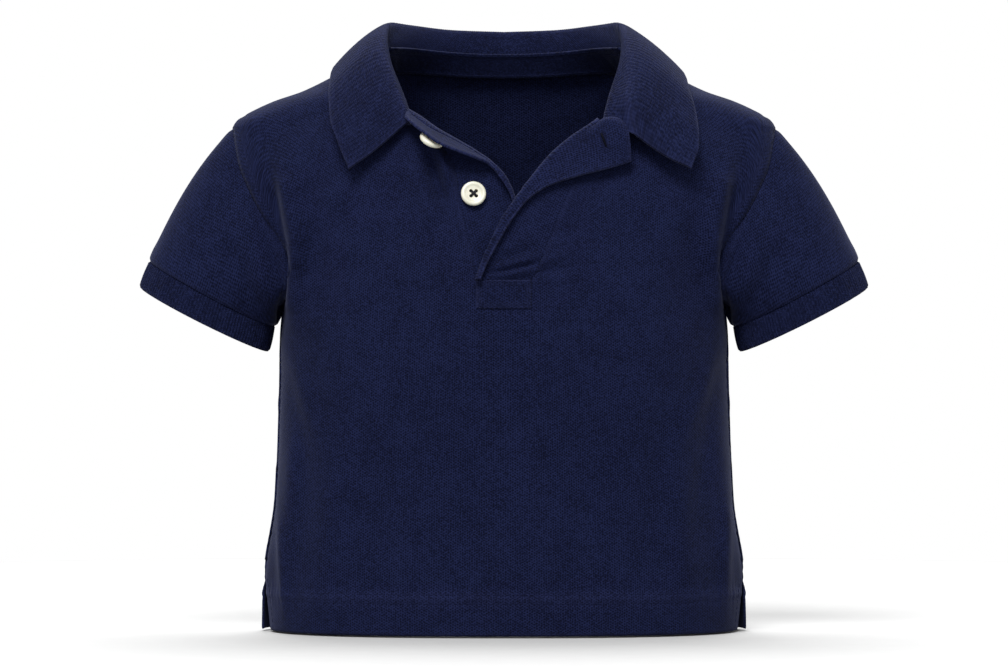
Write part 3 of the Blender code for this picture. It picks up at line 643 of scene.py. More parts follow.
# Depth of a vent: how far the free edges stand apart from the side seam's line
VENT_FRONT = 0.9
VENT_BACK = 0.5
HEM_FOLD = 19.6
HEM_MIDDLE = 16.6

# Reach of the evening out, in rows, and how strongly the fine creases show
RELAX_ROWS = 12
CREASE_DEPTH = 1.3

# Stands for no seam nearby
FAR = 99.0


def relax(grid, side):
    """Evens out a panel up and down, away from its edges and the slit."""
    to_edge = np.minimum(grid.across, grid.across[:, -1:] - grid.across)
    to_top = grid.along[-1:] - grid.along
    share = step_up(to_edge, 2.0, 16.0) * step_up(to_top, 8.0, 26.0)
    if side < 0:
        x = grid.points[..., 0]
        z = grid.points[..., 2]
        beyond = np.where(x < 0, -x - slit_x(z, -1), x - slit_x(z, 1))
        share = share * step_up(beyond, 1.0, 14.0)
    reach = 3 * RELAX_ROWS
    weights = np.exp(-(np.arange(-reach, reach + 1) / RELAX_ROWS) ** 2 / 2)
    padded = np.pad(grid.points[..., :2], ((reach, reach), (0, 0), (0, 0)), mode="edge")
    rows = grid.points.shape[0]
    even = sum(weight * padded[k:k + rows] for k, weight in enumerate(weights)) / weights.sum()
    grid.points[..., :2] += (even - grid.points[..., :2]) * share[..., None]
    grid.across = run_along(grid.points, 1)
    grid.along = run_along(grid.points, 0)
    grid.zero = grid.across[:, [grid.points.shape[1] // 2]]


def dress_panel(grid, side, creases):
    """Creases, hem, seams and wear of the front or back, and its open vents."""
    relax(grid, side)
    x = grid.points[..., 0]
    z = grid.points[..., 2]
    to_edge = np.minimum(grid.across, grid.across[:, -1:] - grid.across)
    above_hem = z - HEM_Z
    open_vent = step_up(VENT_TOP_Z - z, 0.0, 5.0) * near(to_edge, 9.0)
    grid.points[..., 1] += side * (VENT_FRONT if side < 0 else VENT_BACK) * open_vent
    grid.find_normals()
    armhole_x = ARMHOLE("x", np.maximum(z, UNDERARM_Z))
    to_armhole = np.where(z > UNDERARM_Z, armhole_x - np.abs(x), FAR)
    to_side = np.where(z <= UNDERARM_Z, to_edge, FAR)
    in_vent = step_up(VENT_TOP_Z - z, -1.0, 2.0)
    height = CREASE_DEPTH * fold_height(x, z, creases)
    height += 0.45 * step_up(HEM_FOLD - above_hem, -0.6, 1.2)
    for row in HEM_ROWS:
        height -= 0.2 * near(above_hem - row, 0.9)
    height += 0.18 * near(above_hem - HEM_MIDDLE, 1.5)
    height += 0.2 * ripple(grid.across) * near(above_hem - 17.0, 6.0)
    height -= 0.3 * near(above_hem, 0.5)
    height -= 0.7 * near(to_side, 1.3) * (1 - in_vent)
    height += 0.22 * ripple(z * 1.1 + 4.0) * near(to_side - 3.0, 4.0) * (1 - in_vent)
    height += 0.3 * near(to_side - 3.0, 3.0) * in_vent
    height += 0.15 * step_up(6.0 - to_armhole, 0.0, 2.0)
    height -= 0.15 * near(to_armhole - 5.0, 0.9)
    height += 0.2 * ripple(z * 1.2) * near(to_armhole - 4.0, 4.0)
    grid.lift(height)
    grid.rub(0.4 * near(above_hem, 1.0) + 0.22 * near(above_hem - HEM_MIDDLE, 3.0))
    grid.rub(0.22 * near(to_armhole, 0.8) + 0.12 * near(to_armhole - 4.0, 2.0))
    grid.rub(0.2 * near(to_side, 1.0) + 0.35 * near(to_side - 3.5, 2.5) * in_vent)


def front_grid():
    """The front, with the columns under the slit in its middle."""
    z = PANEL_ROWS[:, None]
    right = panel(-1, -1, z, HALF_SHARES[None, ::-1])
    left = panel(-1, 1, z, HALF_SHARES[None, :])
    share = np.linspace(0.0, 1.0, SLIT_COLUMNS + 1)[None, 1:-1, None]
    middle = right[:, -1:] + (left[:, :1] - right[:, -1:]) * share
    middle[..., 1] = torso_y(middle[..., 0], middle[..., 2], -1)
    grid = Grid(np.concatenate((right, middle, left), axis=1), (0.0, 0.0, -130.0))
    dress_panel(grid, -1, FRONT_CREASES)
    x = grid.points[..., 0]
    z = grid.points[..., 2]
    above = step_up(z, SLIT_BOTTOM_Z - 2.0, 2.0)
    for sign in (-1, 1):
        to_slit = x * sign - slit_x(z, sign)
        beside = above * (to_slit > -0.5)
        grid.lift(beside * (-0.35 * near(to_slit, 0.8) + 0.15 * ripple(z) * near(to_slit, 5.0)))
        grid.rub(beside * 0.18 * near(to_slit - 1.0, 1.0))
    grid.rub(0.4 * near(grid.along[-1:] - grid.along, 1.0))
    return grid


def back_grid():
    """The back."""
    z = PANEL_ROWS[:, None]
    right = panel(1, -1, z, HALF_SHARES[None, :0:-1])
    left = panel(1, 1, z, HALF_SHARES[None, :])
    grid = Grid(np.concatenate((right, left), axis=1), (0.0, 0.0, -130.0))
    dress_panel(grid, 1, BACK_CREASES)
    grid.rub(0.4 * near(grid.along[-1:] - grid.along, 1.0))
    return grid


def ring(shape, sign, angle, side):
    """Points on a tilted oval: angle 0 is its outer end, pi its end under the arm."""
    reach = np.cos(angle)
    x = shape["center"][0] + shape["half"][0] * reach
    z = shape["center"][1] + shape["half"][1] * reach - shape["nod"] * np.sin(angle) * (side < 0)
    return np.stack(np.broadcast_arrays(sign * x, side * shape["depth"] * np.sin(angle), z), axis=-1)


def armhole_loop(sign, count):
    """Armhole points, angles and sides: shoulder tip, down the front, up the back, closed."""
    points = []
    angles = []
    sides = []
    z = np.linspace(SHOULDER_TIP_Z, UNDERARM_Z, 700)
    for side in (-1, 1):
        edge = panel(side, sign, z, np.ones_like(z))
        edge[0, 1] = SECTIONS("seam_y", SHOULDER_TIP_Z)
        edge[-1, 1] = SECTIONS("seam_y", UNDERARM_Z)
        run = run_along(edge, 0)
        angle = np.linspace(0.0, np.pi, count + 1)
        at = angle / np.pi * run[-1]
        points.append(np.stack([np.interp(at, run, edge[:, k]) for k in range(3)], axis=-1))
        angles.append(angle)
        sides.append(np.full(count + 1, float(side)))
    loop = [np.concatenate((item[0], item[1][-2::-1])) for item in (points, angles, sides)]
    return loop


SLEEVE_COLUMNS = 96
SLEEVE_TIMES = np.concatenate((np.linspace(0.0, 0.08, 9)[:-1], np.linspace(0.08, 0.96, 62)[:-1],
                               np.linspace(0.96, 1.0, 8)))
ALLOWANCE = 3.0
ALLOWANCE_SINK = 0.5
EDGE_SINK = 0.7
ARMHOLE_HOLLOW = 2.6


def sleeve_grid(sign, body):
    """Sleeve from its allowance under the armhole's edge to the cuff seam."""
    start, angle, side = armhole_loop(sign, SLEEVE_COLUMNS)
    _, skin = body.place(start)
    end = ring(SLEEVE_END, sign, angle, side)
    top = (np.cos(angle / 2) ** 2)[:, None]
    mirror = np.array((sign, 1.0, 1.0))
    leave = top * (LEAVE_TOP * mirror) + (1 - top) * (LEAVE_UNDER * mirror)
    leave = leave + np.sin(angle)[:, None] * side[:, None] * np.array(LEAVE_SPREAD)
    ahead = leave / np.linalg.norm(leave, axis=1, keepdims=True)
    arrive = ARRIVE * mirror
    reach = SLEEVE_PULL * np.linalg.norm(end - start, axis=1, keepdims=True)
    under = start - ahead * ALLOWANCE - skin * (PANEL_WALL + ALLOWANCE_SINK)
    first = start + ahead * SEAM_GAP
    t = SLEEVE_TIMES[:, None, None]
    lines = ((1 - t) ** 3 * first + 3 * t * (1 - t) ** 2 * (first + leave * reach)
             + 3 * t * t * (1 - t) * (end - arrive * reach) + t ** 3 * end)
    edge = start - skin * EDGE_SINK
    rows = np.concatenate((under[None], ((under + edge) / 2)[None], edge[None], lines), axis=0)
    grid = Grid(rows, rows.mean(axis=1, keepdims=True), wrap=True)
    run = grid.along - grid.along[3:4]
    to_end = grid.along[-1:] - grid.along
    x = grid.points[..., 0] * sign
    z = grid.points[..., 2]
    front = np.where(side < 0, 1.0, 0.0)[None, :]
    height = fold_height(x, z, SLEEVE_FRONT_CREASES) * front
    height = height + fold_height(x, z, SLEEVE_BACK_CREASES) * (1 - front)
    height = height * np.abs(np.sin(angle))[None, :] * step_up(run, 0.5, 4.0)
    low = step_up(angle / np.pi, 0.35, 0.35)[None, :] * front
    height -= ARMHOLE_HOLLOW * low * near(run - 5.0, 6.0) * step_up(run, 0.0, 4.0)
    height -= 0.45 * near(run, 1.4)
    height += 0.2 * ripple(grid.across * 1.1) * near(run - 4.0, 4.0)
    height -= 0.9 * near(to_end, 0.9)
    height += 0.3 * near(to_end - 5.0, 4.0)
    grid.lift(height)
    grid.rub(0.15 * near(run, 1.2) + 0.3 * near(to_end - 0.7, 1.0))
    return grid


CUFF_RIB_PITCH = 1.45
CUFF_RIB_STEPS = 7
CUFF_RIB_RISE = 0.15
CUFF_SHARES = np.concatenate(([-0.3, -0.12], np.linspace(0.0, 0.9, 8)[:-1], np.linspace(0.9, 1.0, 6)))


def cuff_grid(sign):
    """Rib band, its upper edge under the sleeve's."""
    dense = np.linspace(0.0, 2 * np.pi, 4001)
    side = np.where(dense <= np.pi, -1.0, 1.0)
    angle = np.where(dense <= np.pi, dense, 2 * np.pi - dense)
    middle = (ring(CUFF_TOP, sign, angle, side) + ring(CUFF_END, sign, angle, side)) / 2
    run = run_along(middle, 0)
    ribs = int(round(run[-1] / CUFF_RIB_PITCH))
    at = np.linspace(0.0, run[-1], ribs * CUFF_RIB_STEPS + 1)
    turn = np.interp(at, run, dense)
    side = np.where(turn <= np.pi, -1.0, 1.0)
    angle = np.where(turn <= np.pi, turn, 2 * np.pi - turn)
    upper = ring(CUFF_TOP, sign, angle, side)
    lower = ring(CUFF_END, sign, angle, side)
    rows = upper[None] + (lower - upper)[None] * CUFF_SHARES[:, None, None]
    grid = Grid(rows, rows.mean(axis=1, keepdims=True), wrap=True)
    share = CUFF_SHARES[:, None]
    to_end = grid.along[-1:] - grid.along
    rib = np.cos(np.arange(len(at)) * 2 * np.pi / CUFF_RIB_STEPS)[None, :]
    grid.rib = CUFF_RIB_RISE * rib * (1 - near(to_end, 0.6))
    height = -1.4 * step_up(-share, 0.0, 0.12)
    height = height - 0.55 * near(to_end, 0.8)
    height = height + 0.25 * near(share - 0.5, 0.35) + 0.18 * ripple(grid.across * 0.6)
    grid.lift(height)
    grid.rub(0.3 * near(to_end - 0.6, 0.8) + 0.1 * (rib > 0.3))
    return grid


def neck_seam(along, sign):
    """Top edge of the panels round the neck, 0 at the centre back, 2 at the slit."""
    if along <= 1.0:
        x, z = back_top(np.array(along * NECK_SHARE))
        side = 1
    else:
        x, z = front_top(np.array((2.0 - along) * NECK_SHARE), slit_x(SLIT_TOP_Z, sign))
        side = -1
    y = torso_y(x, z, side) if along != 1.0 else SECTIONS("seam_y", z)
    return np.array((sign * float(x), float(y), float(z)))


COLLAR_PLACES = np.concatenate((np.linspace(0.0, 1.0, 9)[:-1], np.linspace(1.0, 1.5, 10)[:-1],
                                np.linspace(1.5, 1.95, 9)[:-1], np.linspace(1.95, 2.0, 4)))
COLLAR_RIB_PITCH = 1.3
COLLAR_RIB_STEPS = 6
COLLAR_RIB_RISE = 0.075


def collar_line(along, sign):
    """One line across the collar, from under the neck seam over the roll to the outer edge."""
    table = COLLAR_LEFT if sign > 0 else COLLAR_RIGHT
    seam = neck_seam(along, sign)
    inward = -np.array((seam[0], seam[1] - NECK_MIDDLE_Y, 0.0))
    inward = inward / np.linalg.norm(inward)
    step = 0.04 if along < 1.0 else -0.04
    run = neck_seam(along + step, sign) - seam
    rise = np.cross(run, inward)
    rise = rise / np.linalg.norm(rise) * np.sign(rise[2])
    forward = np.clip(along - 1.0, 0.0, 1.0)
    seam = seam + rise * COLLAR_SEAM_STEP + inward * CAD_WALL / 2 * (1 - 3 * forward)
    roll = np.array([table("roll_" + axis, along) for axis in "xyz"]) * (sign, 1, 1)
    edge = np.array([table("edge_" + axis, along) for axis in "xyz"]) * (sign, 1, 1)
    away = edge - roll
    away[2] = 0.0
    away = away / np.linalg.norm(away)
    t = COLLAR_PLACES[COLLAR_PLACES < 1.0][:, None]
    belly = seam + (roll - seam) * 0.5 + inward * COLLAR_BELLY
    stand = (1 - t) ** 2 * seam + 2 * t * (1 - t) * belly + t * t * roll
    t = COLLAR_PLACES[COLLAR_PLACES >= 1.0][:, None] - 1.0
    lift = away * COLLAR_ARCH + np.array((0, 0, COLLAR_ARCH))
    fall = ((1 - t) ** 3 * roll + 3 * t * (1 - t) ** 2 * (roll + away * COLLAR_ROUND)
            + 3 * t * t * (1 - t) * (edge + (roll - edge) * 0.4 + lift) + t ** 3 * edge)
    fall[:, 2] -= COLLAR_BOW * near(2.0 - along, COLLAR_BOW_REACH) * np.sin(np.pi * t[:, 0])
    under = seam - rise * COLLAR_TUCK + inward * COLLAR_TUCK_IN * (1 - forward)
    return np.concatenate((under[None], stand, fall))


def collar_grid():
    """Rib collar from its front end on the wearer's right, round the back, to the other end."""
    halves = []
    for sign in (-1, 1):
        dense = np.linspace(0.0, 2.0, 401)
        run = run_along(np.array([neck_seam(value, sign) for value in dense]), 0)
        count = int(round(run[-1] / COLLAR_RIB_PITCH)) * COLLAR_RIB_STEPS
        stations = np.interp(np.linspace(0.0, run[-1], count + 1), run, dense)
        halves.append(np.array([collar_line(value, sign) for value in stations]))
    lines = np.concatenate((halves[0][::-1], halves[1][1:]))
    rows = lines.transpose(1, 0, 2)
    grid = Grid(rows, (0.0, 0.0, 0.0))
    if np.sum(grid.normals[-10:] * (grid.points[-10:] - (0.0, 0.0, -20.0))) < 0:
        grid.outward = -grid.outward
        grid.normals = -grid.normals
    place = np.concatenate(([0.0], COLLAR_PLACES))[:, None]
    ends = np.minimum(grid.across, grid.across[:, -1:] - grid.across)
    to_edge = grid.along[-1:] - grid.along
    rib = np.cos(np.arange(rows.shape[1]) * 2 * np.pi / COLLAR_RIB_STEPS)[None, :]
    fade = (1 - near(to_edge, 0.8)) * (1 - near(ends, 1.2))
    wave = 0.25 * ripple(grid.across[0:1] * 0.35) * step_up(place, 1.3, 0.7)
    crown = -0.5 * near(to_edge, 1.2) - 0.3 * near(ends, 1.0)
    grid.rib = COLLAR_RIB_RISE * rib * fade
    height = wave + crown * step_up(place, 1.0, 0.3)
    grid.points = grid.points + grid.normals * height[..., None]
    grid.rub(0.5 * near(to_edge, 1.0) + 0.45 * near(ends, 1.1) + 0.1 * (rib > 0.3))
    grid.rub(0.25 * near(place - 1.0, 0.12))
    return grid


TAPE_ROWS = 14


def tape_grid():
    """Strip under the neck seam, on the inside of the back."""
    share = np.linspace(0.0, TAPE_SHARE, 60)
    share = np.concatenate((-share[:0:-1], share))
    x, top_z = back_top(np.abs(share))
    rows = []
    for drop in np.linspace(0.0, 1.0, TAPE_ROWS):
        z = top_z + TAPE_LIFT - (TAPE_DEPTH + 1.0) * drop
        slope = torso_y(x + 0.5, z, 1) - torso_y(x - 0.5, z, 1)
        length = np.hypot(slope, 1.0)
        depth = CAD_WALL + TAPE_INSET * (1 - 0.8 * (np.abs(share) / TAPE_SHARE) ** 4)
        y = torso_y(x, z, 1) - depth / length
        rows.append(np.stack(((x + slope / length * depth) * np.sign(share + 1e-9), y, z), axis=-1))
    grid = Grid(rows, (0.0, 0.0, 0.0))
    place = np.linspace(0.0, 1.0, TAPE_ROWS)[:, None]
    height = 0.25 * ripple(grid.across * 0.8) * near(place - 0.5, 0.5)
    grid.lift(height - 0.35 * near(place, 0.12) - 0.35 * near(place - 1.0, 0.12))
    grid.rub(0.3 * near(place - 1.0, 0.08))
    return grid


PLACKET_STEPS = 64

# Columns of a folded strip: under the seam, flat part, half turn and turned-back part
STRIP_FLAT = 16
STRIP_TURN = 13
STRIP_BACK = 15
STRIP_SEAM_END = 1 + STRIP_FLAT
STRIP_TURN_MIDDLE = STRIP_SEAM_END + STRIP_TURN // 2

# Allowance of a strip under the panel, and how far the buttonhole strip stands off the body
STRIP_UNDER = 2.5
STRIP_SINK = PANEL_WALL + 0.4
FOLD_STAND = 2.1
FREE_STAND = 2.2
BELLY_WAY = np.array((0.55, 0.0, 0.83))

# A lip this long starts to turn down, and how much longer a fully turned one is
LIP_FLAT = 2.0
LIP_TURN = 4.0


def placket_rows(drop):
    """Heights along the slit, from its foot to a drop below its top."""
    return np.linspace(SLIT_BOTTOM_Z - 1.0, SLIT_TOP_Z - drop, PLACKET_STEPS)


def slit_gap(table, z):
    """Sideways step that leaves the same gap beside a slanting stretch of the slit."""
    slant = table("seam_x", z + 0.5) - table("seam_x", z - 0.5)
    return PLACKET_GAP * np.hypot(1.0, slant)


def hook(seam, bend, tip, roll, under):
    """Section of a folded strip: allowance, seam, bend, half turn of a small radius, tip."""
    ahead = bend - seam
    ahead = ahead / np.linalg.norm(ahead)
    front = np.array((0.0, -1.0, 0.0))
    middle = bend + front * roll - ahead * roll
    flat = [seam + (bend - ahead * roll - seam) * k for k in np.linspace(0.0, 0.94, STRIP_FLAT)]
    turn = [middle - front * roll * np.cos(a) + ahead * roll * np.sin(a)
            for a in np.radians(np.linspace(0.0, 180.0, STRIP_TURN))]
    back = [turn[-1] + (tip - turn[-1]) * k for k in np.linspace(0.0, 1.0, STRIP_BACK + 1)[1:]]
    return [under] + flat + turn + back


def button_placket_grid():
    """Strip on the wearer's right; its top is rolled outward as a lip."""
    rows = []
    for z in placket_rows(BUTTON_SIDE_DROP):
        get = {name: float(BUTTON_STRIP(name, z)) for name in BUTTON_STRIP.names}
        seam_x = get["seam_x"] + slit_gap(BUTTON_STRIP, z)
        seam = np.array((seam_x, torso_y(seam_x, z, -1), z))
        edge_y = torso_y(get["edge_x"], get["edge_z"], -1) + get["sink"]
        edge = np.array((get["edge_x"], edge_y, get["edge_z"]))
        back = (seam - edge) / np.linalg.norm(seam - edge)
        lip = get["lip"]
        down = np.array((0.0, -np.cos(LIP_SLOPE), -np.sin(LIP_SLOPE)))
        turned = np.clip((lip - LIP_FLAT) / LIP_TURN, 0, 1)
        tip = edge + np.array((0.0, -2 * get["roll"], 0.0)) + back * lip * (1 - turned) * 0.8
        tip = tip + down * lip * turned
        under = seam + np.array((-STRIP_UNDER, STRIP_SINK, 0.0))
        rows.append(hook(seam, edge, tip, get["roll"], under))
    grid = Grid(rows, (0.0, 0.0, -60.0))
    dress_placket(grid)
    return grid


def buttonhole_placket_grid():
    """Strip on the wearer's left; its free edge is turned outward more and more to the top."""
    rows = []
    for z in placket_rows(BUTTONHOLE_SIDE_DROP):
        get = {name: float(BUTTONHOLE_SIDE(name, z)) for name in BUTTONHOLE_SIDE.names}
        seam_x = get["seam_x"] - slit_gap(BUTTONHOLE_SIDE, z)
        seam = np.array((seam_x, torso_y(seam_x, z, -1), z))
        fold_y = torso_y(get["fold_x"], get["fold_z"], -1) - FOLD_STAND
        fold = np.array((get["fold_x"], fold_y, get["fold_z"]))
        free_y = torso_y(get["free_x"], get["free_z"], -1) - get["rest"] - FREE_STAND
        free = np.array((get["free_x"], free_y, get["free_z"]))
        line = hook(seam, fold, free, FOLD_ROLL, seam + np.array((STRIP_UNDER, STRIP_SINK, 0.0)))
        bow = np.sin(np.pi * np.linspace(0.0, 1.0, STRIP_BACK + 1) ** 0.85)[1:]
        for k in range(STRIP_BACK):
            line[k - STRIP_BACK] = line[k - STRIP_BACK] + BELLY_WAY * get["belly"] * bow[k]
        rows.append(line)
    grid = Grid(rows, (0.0, 0.0, -60.0))
    dress_placket(grid)
    flat = np.arange(grid.points.shape[1]) < STRIP_SEAM_END
    grid.lift(fold_height(grid.points[..., 0], grid.points[..., 2], BUTTONHOLE_CREASES) * flat)
    return grid


def dress_placket(grid):
    """Waviness and worn edges of a placket strip."""
    to_free = grid.across[:, -1:] - grid.across
    to_fold = np.abs(np.arange(grid.points.shape[1]) - STRIP_TURN_MIDDLE)[None, :]
    height = 0.18 * ripple(grid.along * 0.7 + 3.0) * near(to_free - 4.0, 5.0)
    height -= 0.25 * near(to_free - 1.8, 0.7)
    height -= 0.35 * near(to_free, 0.7)
    top = grid.along[-1:] - grid.along
    grid.lift(height - 0.2 * near(top, 0.8))
    grid.rub(0.45 * near(to_free, 1.0) + 0.35 * near(to_fold, 3.0) + 0.4 * near(top, 1.0))


def box_grid():
    """Patch at the foot of the plackets, lying on the front."""
    z = np.linspace(BOX_BOTTOM_Z, SLIT_BOTTOM_Z + 0.2, 22)[:, None]
    x = np.linspace(-PLACKET_HALF, PLACKET_HALF, 40)[None, :]
    y = torso_y(x, z, -1) - PANEL_WALL - 1.2 * step_up(z, SLIT_BOTTOM_Z - 2.5, 2.5)
    grid = Grid(np.stack(np.broadcast_arrays(x, y, z), axis=-1), (0.0, 0.0, -110.0))
    sides = np.minimum(grid.across, grid.across[:, -1:] - grid.across)
    ends = np.minimum(grid.along, grid.along[-1:] - grid.along)
    to_edge = np.minimum(sides, ends)
    height = -0.6 * near(to_edge, 0.7) - 0.3 * near(to_edge - 1.3, 0.5)
    height += 0.32 * ripple(grid.across * 1.1 + grid.along * 0.9) * step_up(to_edge, 0.5, 1.5)
    grid.lift(height)
    grid.rub(0.5 * near(to_edge, 0.9) + 0.25 * near(to_edge - 2.0, 0.6))
    return grid


class Threads:
    """Short rounded lengths of thread, gathered into one mesh."""

    PLACES = (0.0, 0.14, 0.5, 0.86, 1.0)
    GIRTHS = (0.3, 0.85, 1.0, 0.85, 0.3)
    LIFTS = (-0.7, 0.3, 0.55, 0.3, -0.7)
    SIDES = 6

    def __init__(self):
        self.places = []
        self.faces = []

    def lay(self, starts, ends, normals, radius):
        """One length from each start to each end, lying on the surface with those normals."""
        ahead = ends - starts
        across = np.cross(normals, ahead)
        across = across / np.maximum(np.linalg.norm(across, axis=1, keepdims=True), 1e-9)
        up = normals / np.linalg.norm(normals, axis=1, keepdims=True)
        turn = np.arange(self.SIDES) * 2 * np.pi / self.SIDES
        rings = []
        for place, girth, rise in zip(self.PLACES, self.GIRTHS, self.LIFTS):
            center = starts + ahead * place + up * radius * rise
            ring_points = (center[:, None] + radius * girth * (
                across[:, None] * np.cos(turn)[None, :, None] + up[:, None] * np.sin(turn)[None, :, None]))
            rings.append(ring_points)
        block = np.stack(rings, axis=1)
        per = len(self.PLACES) * self.SIDES
        first = sum(len(item) for item in self.places)
        self.places.append(block.reshape(-1, 3))
        for k in range(len(starts)):
            base = first + k * per
            for r in range(len(self.PLACES) - 1):
                for s in range(self.SIDES):
                    a = base + r * self.SIDES + s
                    b = base + r * self.SIDES + (s + 1) % self.SIDES
                    self.faces.append((b, a, a + self.SIDES, b + self.SIDES))
            last = base + per - self.SIDES
            self.faces.append(tuple(base + s for s in range(self.SIDES)))
            self.faces.append(tuple(last + self.SIDES - 1 - s for s in range(self.SIDES)))

    def sew(self, points, normals, pitch=THREAD_PITCH, share=THREAD_SHARE, radius=THREAD_RADIUS):
        """A line of stitches along the points."""
        run = run_along(points, 0)
        count = max(int(run[-1] / pitch), 1)
        starts = np.linspace(0.0, run[-1], count + 1)[:-1]
        ends = starts + run[-1] / count * share

        def at(value, rows):
            return np.stack([np.interp(value, run, rows[:, k]) for k in range(3)], axis=-1)

        self.lay(at(starts, points), at(ends, points), at((starts + ends) / 2, normals), radius)

    def object(self, name, look, slot):
        """The threads as one mesh object on the root body."""
        mesh = bpy.data.meshes.new(name)
        mesh.from_pydata((np.concatenate(self.places) * MM).tolist(), [], self.faces)
        mesh.shade_smooth()
        item = bpy.data.objects.new(name, mesh)
        item.data.materials.append(look)
        bpy.context.scene.collection.objects.link(item)
        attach(item, "root")


def cast(surface, x, z, side, wall=0.0):
    """Where lines along Y meet a surface from outside: from the front for side -1, else the back.

    A wall that is laid over the surface on that side raises the places by its thickness.
    """
    places = []
    normals = []
    for a, b in zip(np.broadcast_to(x, np.shape(z)), z):
        start = Vector((float(a), side * 120.0, float(b)))
        place, normal, _, _ = surface.tree.ray_cast(start, Vector((0.0, -side, 0.0)))
        if place is not None:
            facing = normal if normal.y * side > 0 else -normal
            places.append(place + facing * wall)
            normals.append(facing)
    return np.array(places), np.array(normals)


class Look:
    """A procedural material, built from short calls."""

    def __init__(self, name):
        self.material = bpy.data.materials.new(name)
        self.material.use_nodes = True
        self.tree = self.material.node_tree
        self.shader = self.tree.nodes["Principled BSDF"]

    def feed(self, socket, value):
        """Links a socket to another, or sets its constant."""
        if isinstance(value, bpy.types.NodeSocket):
            self.tree.links.new(value, socket)
        else:
            socket.default_value = value

    def math(self, operation, *values):
        made = self.tree.nodes.new("ShaderNodeMath")
        made.operation = operation
        for socket, value in zip(made.inputs, values):
            self.feed(socket, value)
        return made.outputs[0]

    def noise(self, vector, scale, detail=2.0):
        made = self.tree.nodes.new("ShaderNodeTexNoise")
        self.feed(made.inputs["Vector"], vector)
        made.inputs["Scale"].default_value = scale
        made.inputs["Detail"].default_value = detail
        return made.outputs["Fac"]

    def coordinates(self, layer=None):
        if layer is None:
            return self.tree.nodes.new("ShaderNodeTexCoord").outputs["Object"]
        made = self.tree.nodes.new("ShaderNodeUVMap")
        made.uv_map = layer
        return made.outputs["UV"]

    def waves(self, vector, pitch, angle):
        """Cosine bands of a pitch in metres, their crests across the angle."""
        made = self.tree.nodes.new("ShaderNodeVectorMath")
        made.operation = "DOT_PRODUCT"
        self.feed(made.inputs[0], vector)
        turn = 2 * np.pi / pitch
        made.inputs[1].default_value = (turn * np.cos(angle), turn * np.sin(angle), 0.0)
        return self.math("COSINE", made.outputs["Value"])

    def wander(self, vector, scale, reach):
        """The vector, shifted a little by noise."""
        noise = self.tree.nodes.new("ShaderNodeTexNoise")
        self.feed(noise.inputs["Vector"], vector)
        noise.inputs["Scale"].default_value = scale
        centered = self.tree.nodes.new("ShaderNodeVectorMath")
        centered.operation = "MULTIPLY_ADD"
        self.feed(centered.inputs[0], noise.outputs["Color"])
        centered.inputs[1].default_value = (reach,) * 3
        self.feed(centered.inputs[2], vector)
        return centered.outputs[0]

    def sway(self, factor, strength, middle=0.0):
        """A factor of 0 to 1, spread by a strength about the middle."""
        return self.math("MULTIPLY_ADD", factor, strength, middle - strength / 2)

    def ramp(self, factor, stops):
        made = self.tree.nodes.new("ShaderNodeValToRGB")
        self.feed(made.inputs["Fac"], factor)
        line = made.color_ramp.elements
        line[0].position, line[0].color = stops[0][0], (*stops[0][1], 1.0)
        line[1].position, line[1].color = stops[-1][0], (*stops[-1][1], 1.0)
        for position, color in stops[1:-1]:
            line.new(position).color = (*color, 1.0)
        return made.outputs["Color"]

    def mix(self, factor, first, second):
        made = self.tree.nodes.new("ShaderNodeMix")
        made.data_type = "RGBA"
        self.feed(made.inputs["Factor"], factor)
        for socket, value in zip((made.inputs["A"], made.inputs["B"]), (first, second)):
            self.feed(socket, value if isinstance(value, bpy.types.NodeSocket) else (*value, 1.0))
        return made.outputs["Result"]

    def attribute(self, name):
        made = self.tree.nodes.new("ShaderNodeAttribute")
        made.attribute_name = name
        return made.outputs["Fac"]

    def bump(self, height, distance, strength):
        made = self.tree.nodes.new("ShaderNodeBump")
        made.inputs["Distance"].default_value = distance
        made.inputs["Strength"].default_value = strength
        self.feed(made.inputs["Height"], height)
        self.tree.links.new(made.outputs["Normal"], self.shader.inputs["Normal"])

    def surface(self, color, roughness, **sockets):
        self.feed(self.shader.inputs["Base Color"], color)
        self.feed(self.shader.inputs["Roughness"], roughness)
        for name, value in sockets.items():
            self.shader.inputs[name.replace("_", " ")].default_value = value
        return self.material


NAVY_DARK = (0.0006, 0.0010, 0.0060)
NAVY_MID = (0.0012, 0.0023, 0.0128)
NAVY_LIGHT = (0.0058, 0.0086, 0.0330)
NAVY_WORN = (0.0200, 0.0240, 0.0700)
SHEEN_TINT = (0.50, 0.55, 0.90, 1.0)
PIQUE_PITCH = 0.00108
STITCH_PITCH = 0.00052
RIB_LOOP_PITCH = 0.00078

# How strongly the knit's pits and loops (painted shade in their hollows, painted highlight on their
# crests), its fibres and patches of wear and wash change the colour
PIQUE_SHADE_CONTRAST = 0.9
LOOP_SHADE_CONTRAST = 0.45
FIBRE_CONTRAST = 2.3
BLOTCH_CONTRAST = 0.5
CLOUD_CONTRAST = 0.3


